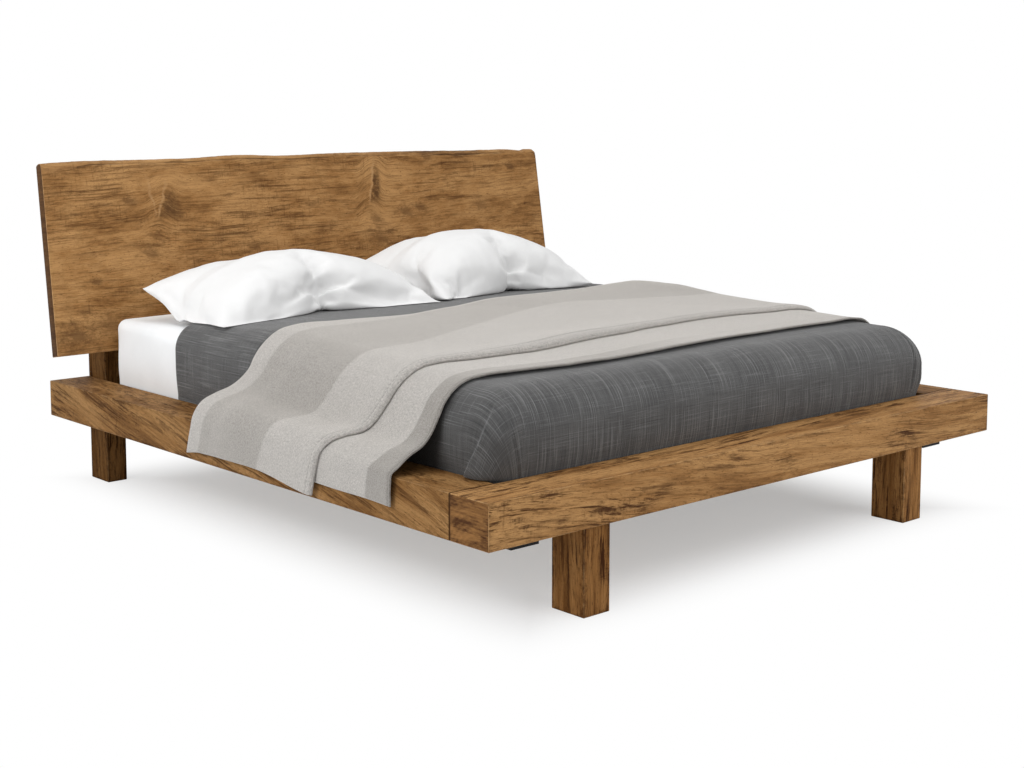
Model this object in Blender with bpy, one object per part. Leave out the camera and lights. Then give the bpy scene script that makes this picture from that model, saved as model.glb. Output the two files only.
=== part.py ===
"""A king platform bed in stained wood with a leaning live-edge headboard, its slat deck and its bedding.

The frame stands on the floor at Z = 0, centred on X and Y. The foot is towards -Y and the head towards +Y.
"""

import math

import bmesh
import bpy
from mathutils import Matrix, Vector

for old_object in list(bpy.data.objects):
    bpy.data.objects.remove(old_object, do_unlink=True)

# Driving dimensions, in metres and degrees.

GAP = 0.0003  # left between pieces that touch
EDGE_EASE = 0.002  # small bevel on every stained edge

# Mattress, and the room that the frame leaves around it
MATTRESS_WIDTH = 1.930
MATTRESS_LENGTH = 2.040
MATTRESS_HEIGHT = 0.252
MATTRESS_CROWN = 0.014
MATTRESS_FOOT_DIP = 0.016  # how much lower the soft foot lies than the head
MATTRESS_FOOT_ROUND = 0.102
MATTRESS_HEAD_ROUND = 0.035
MATTRESS_ROUND_STEPS = 3
MATTRESS_ROWS = 16
SIDE_ROOM = 0.0125
HEAD_ROOM = 0.062

# Frame beams and legs
BEAM_WIDTH = 0.152
BEAM_HEIGHT = 0.125
BEAM_UNDERSIDE = 0.250
FRONT_LEG_WIDTH = 0.098
FRONT_LEG_DEPTH = 0.125
FRONT_LEG_INSET = 0.353
FRONT_LEG_SETBACK = 0.0225
HANGER_BOLT_RADIUS = 0.006
HANGER_BOLT_IN_BEAM = 0.060
HANGER_BOLT_IN_LEG = 0.070

# Headboard posts, the rail between them and the leaning slab
POST_WIDTH = 0.075
POST_DEPTH = 0.125
POST_SHOULDER = 0.4935
POST_TOP = 1.000
HEAD_RAIL_THICKNESS = 0.045
TENON_LENGTH = 0.028
TENON_SHOULDER = 0.012
HEADBOARD_LEAN = 9.4
HEADBOARD_THICKNESS = 0.042
HEADBOARD_HEIGHT = 0.686
HEADBOARD_BELOW_SHOULDER = 0.016
HEADBOARD_OVERHANG = 0.0485
LIVE_EDGE_WANE = 0.009
LIVE_EDGE_STATIONS = 30
# Live edge of the slab: share of the width from the left end, and rise above the nominal height
LIVE_EDGE = (
    (0.000, -0.018),
    (0.012, -0.006),
    (0.070, 0.000),
    (0.240, -0.003),
    (0.350, 0.008),
    (0.430, 0.000),
    (0.590, 0.011),
    (0.710, 0.011),
    (0.830, 0.001),
    (0.955, -0.003),
    (0.985, 0.005),
    (1.000, -0.016),
)

# Slat deck
DECK_DEPTH = 0.029
SLAT_COUNT = 13
SLAT_WIDTH = 0.089
SLAT_THICKNESS = 0.019
SLAT_END_PLAY = 0.004
FIRST_SLAT_ROOM = 0.014
LEDGER_SIZE = 0.038
CENTRE_BEAM_WIDTH = 0.040
CENTRE_BEAM_HEIGHT = 0.070
CENTRE_LEG_SIZE = 0.060
CENTRE_LEG_PLACES = (0.340, 0.660)  # share of the length of the centre beam
LEVELLER_RADIUS = 0.020
LEVELLER_PAD = 0.008
LEVELLER_SHOWN = 0.012
LEVELLER_STEM_RADIUS = 0.005
LEVELLER_STEM = 0.050
LEVELLER_TRAVEL = 0.010
HANGER_STEEL = 0.003
HANGER_WING = 0.030
HANGER_SEAT = 0.050

# Black steel brackets at the two foot corners
BRACKET_STEEL = 0.004
BRACKET_SETBACK = 0.087
BRACKET_DROP = 0.040
BRACKET_REACH = 0.098
BRACKET_TAIL = 0.150
BRACKET_RISE = 0.034
BRACKET_BOLT_ROOM = 0.028

# Bolts
BOLT_RADIUS = 0.004
BOLT_HEAD_RADIUS = 0.0085
BOLT_HEAD_HEIGHT = 0.0055
BRACKET_BOLT_GRIP = 0.045
POST_BOLT_GRIP = 0.135
POST_BOLT_FROM_REAR = 0.042
POST_BOLT_SPREAD = 0.060
HEADBOARD_BOLT_BITE = 0.026
HEADBOARD_BOLT_SINK = 0.008
HEADBOARD_BOLT_HEIGHTS = (0.610, 0.880)

# Fitted sheet and duvet. The loft is given at places measured from the foot of the frame.
SHEET_THICKNESS = 0.0016
SHEET_FIT = 0.0005
DUVET_LENGTH_ON_TOP = 1.605
DUVET_LOFT = ((0.26, 0.020), (0.53, 0.024), (0.90, 0.032), (1.30, 0.045), (1.50, 0.036), (1.78, 0.024))
DUVET_SIDE_LOFT = 0.017
DUVET_TUCK = 0.0065
DUVET_CORNER_SQUARENESS = 4.0
DUVET_FIT = 0.0012
DUVET_FIT_TURN = 0.3  # share of the turn over an edge after which the fit is looser

# Throw, folded lengthwise in two layers across the bed. Places are measured from the foot of the frame.
THROW_LAYER = 0.006
THROW_FIT = 0.004
THROW_HEM_HEIGHT = 0.282
THROW_RIGHT_DROP = 0.055
THROW_EDGE_SHARES = (0.0, 0.30, 0.60, 1.0)
THROW_HEAD_EDGE = (1.400, 1.220, 1.280, 1.450)
THROW_UPPER_EDGE = (0.730, 0.570, 0.530, 0.500)
THROW_LOWER_EDGE = (0.380, 0.350, 0.355, 0.310)
THROW_STEP = 0.004
THROW_TURN = 0.014
THROW_LEFT_FALLS = (0.85, 0.68, 0.50, 0.33, 0.16, 0.0)
THROW_RIGHT_FALLS = (0.0, 0.2, 0.4, 0.6, 0.8, 1.0)
THROW_DIP_PLACES = (0.42, 0.84)  # share of the way from the beam to the sag under the edge
THROW_SAG_OUT = 0.12
THROW_SAG_RISE = 0.45
THROW_TOP_STEPS = 9
THROW_ROW_SHARES = (0.0, 0.17, 0.34, 0.5, 0.67, 0.84, 1.0)

# Pillows
PILLOW_WIDTH = 0.870
PILLOW_DEPTH = 0.630
PILLOW_LOFT = 0.172
PILLOW_DRAWN_IN = 0.050
PILLOW_TILT = 6.5
PILLOW_HEAD_ROOM = 0.095
PILLOW_CENTRES = (("left", -0.470), ("right", 0.403))
PILLOW_FULLNESS = 0.42
PILLOW_STEPS = (20, 12)
PILLOW_FIT = 0.0004
PILLOW_BRIDGE = 0.070  # how far a pillow spans past the edge of the duvet before it comes down

# Sizes that follow from the ones above
INSIDE_WIDTH = MATTRESS_WIDTH + 2 * SIDE_ROOM
FRAME_WIDTH = INSIDE_WIDTH + 2 * BEAM_WIDTH
FRAME_LENGTH = BEAM_WIDTH + SIDE_ROOM + MATTRESS_LENGTH + HEAD_ROOM + POST_DEPTH
FOOT_FACE = -FRAME_LENGTH / 2
HEAD_FACE = FRAME_LENGTH / 2
FOOT_BEAM_BACK = FOOT_FACE + BEAM_WIDTH
POST_FRONT = HEAD_FACE - POST_DEPTH
BEAM_TOP = BEAM_UNDERSIDE + BEAM_HEIGHT
DECK_TOP = BEAM_TOP - DECK_DEPTH
SLAT_BOTTOM = DECK_TOP - SLAT_THICKNESS
MATTRESS_BOTTOM = DECK_TOP + GAP
MATTRESS_TOP = MATTRESS_BOTTOM + MATTRESS_HEIGHT
MATTRESS_FOOT = FOOT_BEAM_BACK + SIDE_ROOM
MATTRESS_HEAD = MATTRESS_FOOT + MATTRESS_LENGTH
LEAN = math.radians(HEADBOARD_LEAN)


def finish(name, colour, roughness, metallic=0.0):
    """A material with one Principled BSDF."""
    material = bpy.data.materials.new(name)
    material.use_nodes = True
    shader = material.node_tree.nodes["Principled BSDF"]
    shader.inputs["Base Color"].default_value = (*colour, 1.0)
    shader.inputs["Roughness"].default_value = roughness
    shader.inputs["Metallic"].default_value = metallic
    material.diffuse_color = (*colour, 1.0)
    return material


STAINED_WOOD = finish("stained_wood", (0.28, 0.14, 0.055), 0.5)
DECK_WOOD = finish("deck_wood", (0.60, 0.44, 0.27), 0.65)
BLACK_STEEL = finish("black_steel", (0.02, 0.02, 0.022), 0.45, 0.6)
ZINC_STEEL = finish("zinc_steel", (0.55, 0.55, 0.56), 0.35, 1.0)
NYLON = finish("nylon", (0.05, 0.05, 0.05), 0.5)
TICKING = finish("mattress_ticking", (0.82, 0.81, 0.78), 0.9)
WHITE_COTTON = finish("white_cotton", (0.85, 0.85, 0.86), 0.85)
CHARCOAL_LINEN = finish("charcoal_linen", (0.09, 0.09, 0.095), 0.9)
GREY_KNIT = finish("grey_knit", (0.56, 0.54, 0.52), 0.95)


def group_empty(name, parent=None):
    """An empty that carries the pieces of one group."""
    empty = bpy.data.objects.new(name, None)
    bpy.context.collection.objects.link(empty)
    empty.parent = parent
    return empty


BED = group_empty("bed")
BEDDING = group_empty("bedding", BED)


def add_piece(name, mesh_data, material, place=(0, 0, 0), turn=(0, 0, 0), parent=BED):
    """Links one named piece whose mesh is written around its own origin."""
    piece = bpy.data.objects.new(name, mesh_data)
    bpy.context.collection.objects.link(piece)
    piece.location = place
    piece.rotation_euler = turn
    piece.parent = parent
    mesh_data.materials.append(material)
    return piece


def mesh_from(name, points, faces, smooth=False, fill_open_rim=False):
    """A mesh with its faces turned outwards. An open rim can be closed with one flat face."""
    made = bmesh.new()
    corners = [made.verts.new(point) for point in points]
    for face in faces:
        made.faces.new([corners[index] for index in face])
    if fill_open_rim:
        rim = [edge for edge in made.edges if edge.is_boundary]
        bmesh.ops.edgeloop_fill(made, edges=rim)
    bmesh.ops.recalc_face_normals(made, faces=made.faces)
    if made.calc_volume(signed=True) < 0:
        bmesh.ops.reverse_faces(made, faces=made.faces)
    mesh_data = bpy.data.meshes.new(name)
    made.to_mesh(mesh_data)
    made.free()
    if smooth:
        mesh_data.shade_smooth()
        mesh_data.set_sharp_from_angle(angle=math.radians(40))
    return mesh_data


def joined_boxes(name, boxes, material, ease=0.0):
    """One closed piece made of boxes that share faces or overlap, each given as (x, y, z) spans."""
    spans = [[tuple(sorted(span)) for span in box] for box in boxes]
    middle = Vector([(min(s[a][0] for s in spans) + max(s[a][1] for s in spans)) / 2 for a in range(3)])
    cuts = [sorted({end for box in spans for end in box[axis]}) for axis in range(3)]
    filled = set()
    for i in range(len(cuts[0]) - 1):
        for j in range(len(cuts[1]) - 1):
            for k in range(len(cuts[2]) - 1):
                cell = (i, j, k)
                centre = [(cuts[a][cell[a]] + cuts[a][cell[a] + 1]) / 2 for a in range(3)]
                if any(all(b[a][0] < centre[a] < b[a][1] for a in range(3)) for b in spans):
                    filled.add(cell)
    numbers = {}
    faces = []
    for cell in filled:
        for axis in range(3):
            for step in (0, 1):
                beside = list(cell)
                beside[axis] += 2 * step - 1
                if tuple(beside) in filled:
                    continue
                face = []
                for first, second in ((0, 0), (1, 0), (1, 1), (0, 1)):
                    corner = list(cell)
                    corner[axis] += step
                    corner[(axis + 1) % 3] += first
                    corner[(axis + 2) % 3] += second
                    face.append(numbers.setdefault(tuple(corner), len(numbers)))
                faces.append(face)
    points = [Vector([cuts[a][corner[a]] for a in range(3)]) - middle for corner in numbers]
    piece = add_piece(name, mesh_from(name, points, faces), material, middle)
    if ease:
        bevel = piece.modifiers.new("eased_edges", "BEVEL")
        bevel.width = ease
        bevel.segments = 1
        bevel.limit_method = "ANGLE"
    return piece


def block(name, x, y, z, material, ease=0.0):
    """A plain squared piece between the given spans."""
    return joined_boxes(name, [(x, y, z)], material, ease)


def prism(name, outline, x, material, ease=0.0):
    """An outline in the YZ plane run along X between the two values of x."""
    low, high = sorted(x)
    half = (high - low) / 2
    count = len(outline)
    points = [(-half, py, pz) for py, pz in outline] + [(half, py, pz) for py, pz in outline]
    faces = [list(range(count)), list(range(count, 2 * count))]
    for index in range(count):
        after = (index + 1) % count
        faces.append([index, after, count + after, count + index])
    piece = add_piece(name, mesh_from(name, points, faces), material, ((low + high) / 2, 0, 0))
    if ease:
        bevel = piece.modifiers.new("eased_edges", "BEVEL")
        bevel.width = ease
        bevel.segments = 1
        bevel.limit_method = "ANGLE"
    return piece


def turned_mesh(name, profile, sides=12):
    """A round solid about Z from (radius, height) pairs that run upwards, closed at both ends."""
    points = []
    for radius, height in profile:
        for side in range(sides):
            angle = 2 * math.pi * side / sides
            points.append((radius * math.cos(angle), radius * math.sin(angle), height))
    faces = [list(range(sides)), list(range(len(points) - sides, len(points)))]
    for ring in range(len(profile) - 1):
        for side in range(sides):
            after = (side + 1) % sides
            low = ring * sides
            faces.append([low + side, low + after, low + sides + after, low + sides + side])
    return mesh_from(name, points, faces, smooth=True)


BORES = bpy.data.collections.new("bores")
bpy.context.scene.collection.children.link(BORES)


def add_cutter(name, mesh_data, place, turn):
    """A hidden shape that the drilled pieces lose."""
    cutter = bpy.data.objects.new(name, mesh_data)
    BORES.objects.link(cutter)
    cutter.location = place
    cutter.rotation_euler = turn
    cutter.parent = BED
    cutter.hide_render = True
    cutter.display_type = "WIRE"
    return cutter


def turn_along(direction):
    """The rotation that takes +Z to the given direction."""
    return Vector(direction).to_track_quat("Z", "Y").to_euler()


def bolt(name, seat, into, grip):
    """A round-headed bolt whose head bears on the seat and whose shank runs the grip length beyond it."""
    profile = (
        (BOLT_HEAD_RADIUS, -BOLT_HEAD_HEIGHT - GAP),
        (BOLT_HEAD_RADIUS, -GAP),
        (BOLT_RADIUS, -GAP),
        (BOLT_RADIUS, grip),
    )
    room = (
        (BOLT_HEAD_RADIUS + GAP, -BOLT_HEAD_HEIGHT - HEADBOARD_BOLT_SINK),
        (BOLT_HEAD_RADIUS + GAP, 0.0),
        (BOLT_RADIUS + GAP, 0.0),
        (BOLT_RADIUS + GAP, grip + GAP),
    )
    turn = turn_along(into)
    add_cutter(name + "_bore", turned_mesh(name + "_bore", room), seat, turn)
    return add_piece(name, turned_mesh(name, profile), ZINC_STEEL, seat, turn)


def drill(piece):
    """Takes every bore that passes through the piece out of it."""
    cut = piece.modifiers.new("bores", "BOOLEAN")
    cut.operation = "DIFFERENCE"
    cut.solver = "EXACT"
    cut.operand_type = "COLLECTION"
    cut.collection = BORES


# Frame beams: the foot beam runs the full width and the side beams butt against its back.

foot_beam = block(
    "foot_beam",
    (-FRAME_WIDTH / 2, FRAME_WIDTH / 2),
    (FOOT_FACE, FOOT_BEAM_BACK),
    (BEAM_UNDERSIDE, BEAM_TOP),
    STAINED_WOOD,
    EDGE_EASE,
)
drilled = [foot_beam]
for side, sign in (("left", -1), ("right", 1)):
    side_beam = block(
        side + "_side_beam",
        (sign * INSIDE_WIDTH / 2, sign * FRAME_WIDTH / 2),
        (FOOT_BEAM_BACK + GAP, HEAD_FACE),
        (BEAM_UNDERSIDE, BEAM_TOP),
        STAINED_WOOD,
        EDGE_EASE,
    )
    drilled.append(side_beam)

# Front legs, each held up to the foot beam by a hanger bolt.

for side, sign in (("left", -1), ("right", 1)):
    leg_outside = sign * (FRAME_WIDTH / 2 - FRONT_LEG_INSET)
    leg_inside = leg_outside - sign * FRONT_LEG_WIDTH
    leg_front = FOOT_FACE + FRONT_LEG_SETBACK
    leg = block(
        "front_" + side + "_leg",
        (leg_inside, leg_outside),
        (leg_front, leg_front + FRONT_LEG_DEPTH),
        (0, BEAM_UNDERSIDE - GAP),
        STAINED_WOOD,
        EDGE_EASE,
    )
    drilled.append(leg)
    bolt_name = "front_" + side + "_leg_hanger_bolt"
    bolt_place = ((leg_inside + leg_outside) / 2, leg_front + FRONT_LEG_DEPTH / 2, BEAM_UNDERSIDE)
    rod = [(HANGER_BOLT_RADIUS, -HANGER_BOLT_IN_LEG), (HANGER_BOLT_RADIUS, HANGER_BOLT_IN_BEAM)]
    hole = [(radius + GAP, height + math.copysign(GAP, height)) for radius, height in rod]
    add_piece(bolt_name, turned_mesh(bolt_name, rod), ZINC_STEEL, bolt_place)
    add_cutter(bolt_name + "_bore", turned_mesh(bolt_name + "_bore", hole), bolt_place, (0, 0, 0))

# Headboard posts: each stands on the floor inside its side beam and is cut to the lean of the headboard.

post_top_front = POST_FRONT + (POST_TOP - POST_SHOULDER) * math.tan(LEAN)
post_outline = (
    (POST_FRONT, 0),
    (HEAD_FACE, 0),
    (HEAD_FACE, POST_TOP),
    (post_top_front, POST_TOP),
    (POST_FRONT, POST_SHOULDER),
)
post_inside = INSIDE_WIDTH / 2 - GAP - POST_WIDTH
rail_back = POST_FRONT + HEAD_RAIL_THICKNESS
tenon_y = (POST_FRONT + TENON_SHOULDER, rail_back - TENON_SHOULDER)
tenon_z = (BEAM_UNDERSIDE + TENON_SHOULDER, BEAM_TOP - TENON_SHOULDER)
for side, sign in (("left", -1), ("right", 1)):
    post_name = side + "_headboard_post"
    post_x = (sign * post_inside, sign * (post_inside + POST_WIDTH))
    post = prism(post_name, post_outline, post_x, STAINED_WOOD, EDGE_EASE)
    drilled.append(post)
    mortise_room = (
        (tenon_y[0] - GAP, tenon_z[0] - GAP),
        (tenon_y[1] + GAP, tenon_z[0] - GAP),
        (tenon_y[1] + GAP, tenon_z[1] + GAP),
        (tenon_y[0] - GAP, tenon_z[1] + GAP),
    )
    mortise_x = (sign * (post_inside - TENON_SHOULDER), sign * (post_inside + TENON_LENGTH + GAP))
    mortise = prism(side + "_mortise", mortise_room, mortise_x, STAINED_WOOD)
    mortise.hide_render = True
    mortise.display_type = "WIRE"
    bpy.context.collection.objects.unlink(mortise)
    BORES.objects.link(mortise)

# Head rail, tenoned into both posts.

rail_half = post_inside - GAP
joined_boxes(
    "head_rail",
    [
        ((-rail_half, rail_half), (POST_FRONT, rail_back), (BEAM_UNDERSIDE, BEAM_TOP)),
        ((-post_inside - TENON_LENGTH, post_inside + TENON_LENGTH), tenon_y, tenon_z),
    ],
    STAINED_WOOD,
)

# Headboard: one thick slab with a live upper edge, leaning back against the cut faces of the posts.


def live_edge_rise(share):
    """Height of the live edge above nominal, eased between the points along it."""
    for (start, low), (end, high) in zip(LIVE_EDGE, LIVE_EDGE[1:]):
        if share <= end:
            eased = (1 - math.cos(math.pi * (share - start) / (end - start))) / 2
            return low + (high - low) * eased
    return LIVE_EDGE[-1][1]


headboard_width = FRAME_WIDTH + 2 * HEADBOARD_OVERHANG
stations = {index / LIVE_EDGE_STATIONS for index in range(LIVE_EDGE_STATIONS + 1)}
stations |= {share for share, rise in LIVE_EDGE}
slab_points = []
for share in sorted(stations):
    x = (share - 0.5) * headboard_width
    top = HEADBOARD_HEIGHT - HEADBOARD_BELOW_SHOULDER + live_edge_rise(share)
    slab_points += [
        (x, 0, -HEADBOARD_BELOW_SHOULDER),
        (x, 0, top - LIVE_EDGE_WANE / 2),
        (x, -HEADBOARD_THICKNESS / 2, top),
        (x, -HEADBOARD_THICKNESS, top - LIVE_EDGE_WANE),
        (x, -HEADBOARD_THICKNESS, -HEADBOARD_BELOW_SHOULDER),
    ]
ring = 5
slab_faces = [list(range(ring)), list(range(len(slab_points) - ring, len(slab_points)))]
for start in range(0, len(slab_points) - ring, ring):
    for corner in range(ring):
        after = (corner + 1) % ring
        slab_faces.append([start + corner, start + after, start + ring + after, start + ring + corner])
headboard_panel = add_piece(
    "headboard_panel",
    mesh_from("headboard_panel", slab_points, slab_faces),
    STAINED_WOOD,
    (0, POST_FRONT - GAP / math.cos(LEAN), POST_SHOULDER),
    (-LEAN, 0, 0),
)
drilled.append(headboard_panel)

# Bolts that hold the posts to the side beams and the headboard to the posts.

for side, sign in (("left", -1), ("right", 1)):
    for level, offset in (("lower", -0.5), ("upper", 0.5)):
        bolt(
            side + "_post_" + level + "_bolt",
            (
                sign * post_inside,
                HEAD_FACE - POST_BOLT_FROM_REAR,
                BEAM_UNDERSIDE + BEAM_HEIGHT / 2 + offset * POST_BOLT_SPREAD,
            ),
            (sign, 0, 0),
            POST_BOLT_GRIP,
        )
    for level, height in zip(("lower", "upper"), HEADBOARD_BOLT_HEIGHTS):
        slab_back = POST_FRONT + (height - POST_SHOULDER) * math.tan(LEAN)
        seat_y = HEAD_FACE - HEADBOARD_BOLT_SINK
        bolt(
            side + "_headboard_" + level + "_bolt",
            (sign * (post_inside + POST_WIDTH / 2), seat_y, height),
            (0, -1, 0),
            seat_y - slab_back + HEADBOARD_BOLT_BITE,
        )

# Black steel corner brackets under the foot beam, bolted up into it and out into the side beams.

bracket_front = FOOT_FACE + BRACKET_SETBACK
bracket_back = FOOT_BEAM_BACK + BRACKET_TAIL
bracket_bottom = BEAM_UNDERSIDE - BRACKET_DROP
flange_bottom = BEAM_UNDERSIDE - GAP - BRACKET_STEEL
for side, sign in (("left", -1), ("right", 1)):
    beam_face = sign * (INSIDE_WIDTH / 2 - GAP)
    bracket_end = beam_face - sign * BRACKET_REACH
    cheek_x = (beam_face, beam_face - sign * BRACKET_STEEL)
    whole_x = (beam_face, bracket_end)
    bracket = joined_boxes(
        side + "_corner_bracket",
        [
            (whole_x, (bracket_front, FOOT_BEAM_BACK), (flange_bottom, BEAM_UNDERSIDE - GAP)),
            (whole_x, (bracket_front, bracket_front + BRACKET_STEEL), (bracket_bottom, BEAM_UNDERSIDE - GAP)),
            (whole_x, (bracket_front, bracket_back), (bracket_bottom, bracket_bottom + BRACKET_STEEL)),
            (cheek_x, (bracket_front, bracket_back), (bracket_bottom, BEAM_UNDERSIDE - GAP)),
            (cheek_x, (FOOT_BEAM_BACK + GAP, bracket_back), (bracket_bottom, BEAM_UNDERSIDE + BRACKET_RISE)),
        ],
        BLACK_STEEL,
    )
    drilled.append(bracket)
    for place, share in (("outer", 0.0), ("inner", 1.0)):
        run = BRACKET_REACH - 2 * BRACKET_BOLT_ROOM
        bolt(
            side + "_bracket_" + place + "_lag_bolt",
            (
                beam_face - sign * (BRACKET_BOLT_ROOM + share * run),
                FOOT_BEAM_BACK - BRACKET_BOLT_ROOM,
                flange_bottom,
            ),
            (0, 0, 1),
            BRACKET_BOLT_GRIP,
        )
        run = BRACKET_TAIL - 2 * BRACKET_BOLT_ROOM
        bolt(
            side + "_bracket_" + ("front" if share == 0 else "rear") + "_side_bolt",
            (
                beam_face - sign * BRACKET_STEEL,
                FOOT_BEAM_BACK + BRACKET_BOLT_ROOM + share * run,
                BEAM_UNDERSIDE + BRACKET_RISE / 2,
            ),
            (sign, 0, 0),
            BRACKET_BOLT_GRIP,
        )

# Slat deck: ledgers on the side beams, a centre beam on steel seats and two legs, and loose slats on top.

for side, sign in (("left", -1), ("right", 1)):
    ledger_outside = sign * (INSIDE_WIDTH / 2 - GAP)
    block(
        side + "_ledger",
        (ledger_outside, ledger_outside - sign * LEDGER_SIZE),
        (FOOT_BEAM_BACK + GAP, POST_FRONT - GAP),
        (SLAT_BOTTOM - GAP - LEDGER_SIZE, SLAT_BOTTOM - GAP),
        DECK_WOOD,
    )

centre_beam_top = SLAT_BOTTOM - GAP
centre_beam_bottom = centre_beam_top - CENTRE_BEAM_HEIGHT
hanger_half = CENTRE_BEAM_WIDTH / 2 + HANGER_WING
hanger_low = centre_beam_bottom - GAP - HANGER_STEEL
for name, wall, sign in (("front", FOOT_BEAM_BACK, 1), ("rear", POST_FRONT, -1)):
    plate = wall + sign * GAP
    joined_boxes(
        name + "_centre_hanger",
        [
            (
                (-hanger_half, hanger_half),
                (plate, plate + sign * HANGER_STEEL),
                (hanger_low, centre_beam_top),
            ),
            (
                (-CENTRE_BEAM_WIDTH / 2, CENTRE_BEAM_WIDTH / 2),
                (plate, plate + sign * (HANGER_STEEL + HANGER_SEAT)),
                (hanger_low, hanger_low + HANGER_STEEL),
            ),
        ],
        BLACK_STEEL,
    )

centre_front = FOOT_BEAM_BACK + 2 * GAP + HANGER_STEEL
centre_back = POST_FRONT - 2 * GAP - HANGER_STEEL
block(
    "centre_beam",
    (-CENTRE_BEAM_WIDTH / 2, CENTRE_BEAM_WIDTH / 2),
    (centre_front, centre_back),
    (centre_beam_bottom, centre_beam_top),
    DECK_WOOD,
)

leg_foot = LEVELLER_PAD + LEVELLER_SHOWN
for name, share in zip(("front", "rear"), CENTRE_LEG_PLACES):
    leg_y = centre_front + share * (centre_back - centre_front)
    leg = block(
        name + "_centre_leg",
        (-CENTRE_LEG_SIZE / 2, CENTRE_LEG_SIZE / 2),
        (leg_y - CENTRE_LEG_SIZE / 2, leg_y + CENTRE_LEG_SIZE / 2),
        (leg_foot, centre_beam_bottom - GAP),
        DECK_WOOD,
    )
    drilled.append(leg)
    stem_top = leg_foot + LEVELLER_STEM
    leveller = (
        (LEVELLER_RADIUS, 0),
        (LEVELLER_RADIUS, LEVELLER_PAD),
        (LEVELLER_STEM_RADIUS, LEVELLER_PAD),
        (LEVELLER_STEM_RADIUS, stem_top),
    )
    stem_room = (
        (LEVELLER_STEM_RADIUS + GAP, LEVELLER_PAD),
        (LEVELLER_STEM_RADIUS + GAP, stem_top + LEVELLER_TRAVEL + GAP),
    )
    leveller_name = name + "_levelling_foot"
    add_piece(leveller_name, turned_mesh(leveller_name, leveller), NYLON, (0, leg_y, 0))
    add_cutter(name + "_stem_bore", turned_mesh(name + "_stem_bore", stem_room), (0, leg_y, 0), (0, 0, 0))

deck_front = FOOT_BEAM_BACK + FIRST_SLAT_ROOM
slat_pitch = (MATTRESS_HEAD - deck_front - SLAT_WIDTH) / (SLAT_COUNT - 1)
slat_half = INSIDE_WIDTH / 2 - SLAT_END_PLAY
for index in range(SLAT_COUNT):
    slat_front = deck_front + index * slat_pitch
    block(
        f"slat_{index + 1:02d}",
        (-slat_half, slat_half),
        (slat_front, slat_front + SLAT_WIDTH),
        (SLAT_BOTTOM, DECK_TOP),
        DECK_WOOD,
    )

for piece in drilled:
    drill(piece)

# Bedding: the mattress, and the covers that follow its rounded shape at a set offset.

half_width = MATTRESS_WIDTH / 2
mattress_middle = (MATTRESS_FOOT + MATTRESS_HEAD) / 2


def edge_round(y):
    """Radius of the long edges, which stays soft over the foot half and eases to the firmer head."""
    share = (y - mattress_middle) / (MATTRESS_HEAD - MATTRESS_HEAD_ROUND - mattress_middle)
    eased = (1 - math.cos(math.pi * max(0.0, min(1.0, share)))) / 2
    return MATTRESS_FOOT_ROUND + (MATTRESS_HEAD_ROUND - MATTRESS_FOOT_ROUND) * eased


def mattress_top(x, y):
    """Height of the crowned top, which lies lower towards the foot."""
    across = x / half_width
    along = (y - mattress_middle) / (MATTRESS_LENGTH / 2)
    crown = MATTRESS_CROWN * (1 - (across**2 + along**2) / 2)
    return MATTRESS_TOP + crown - MATTRESS_FOOT_DIP * (1 - along) / 2


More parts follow.
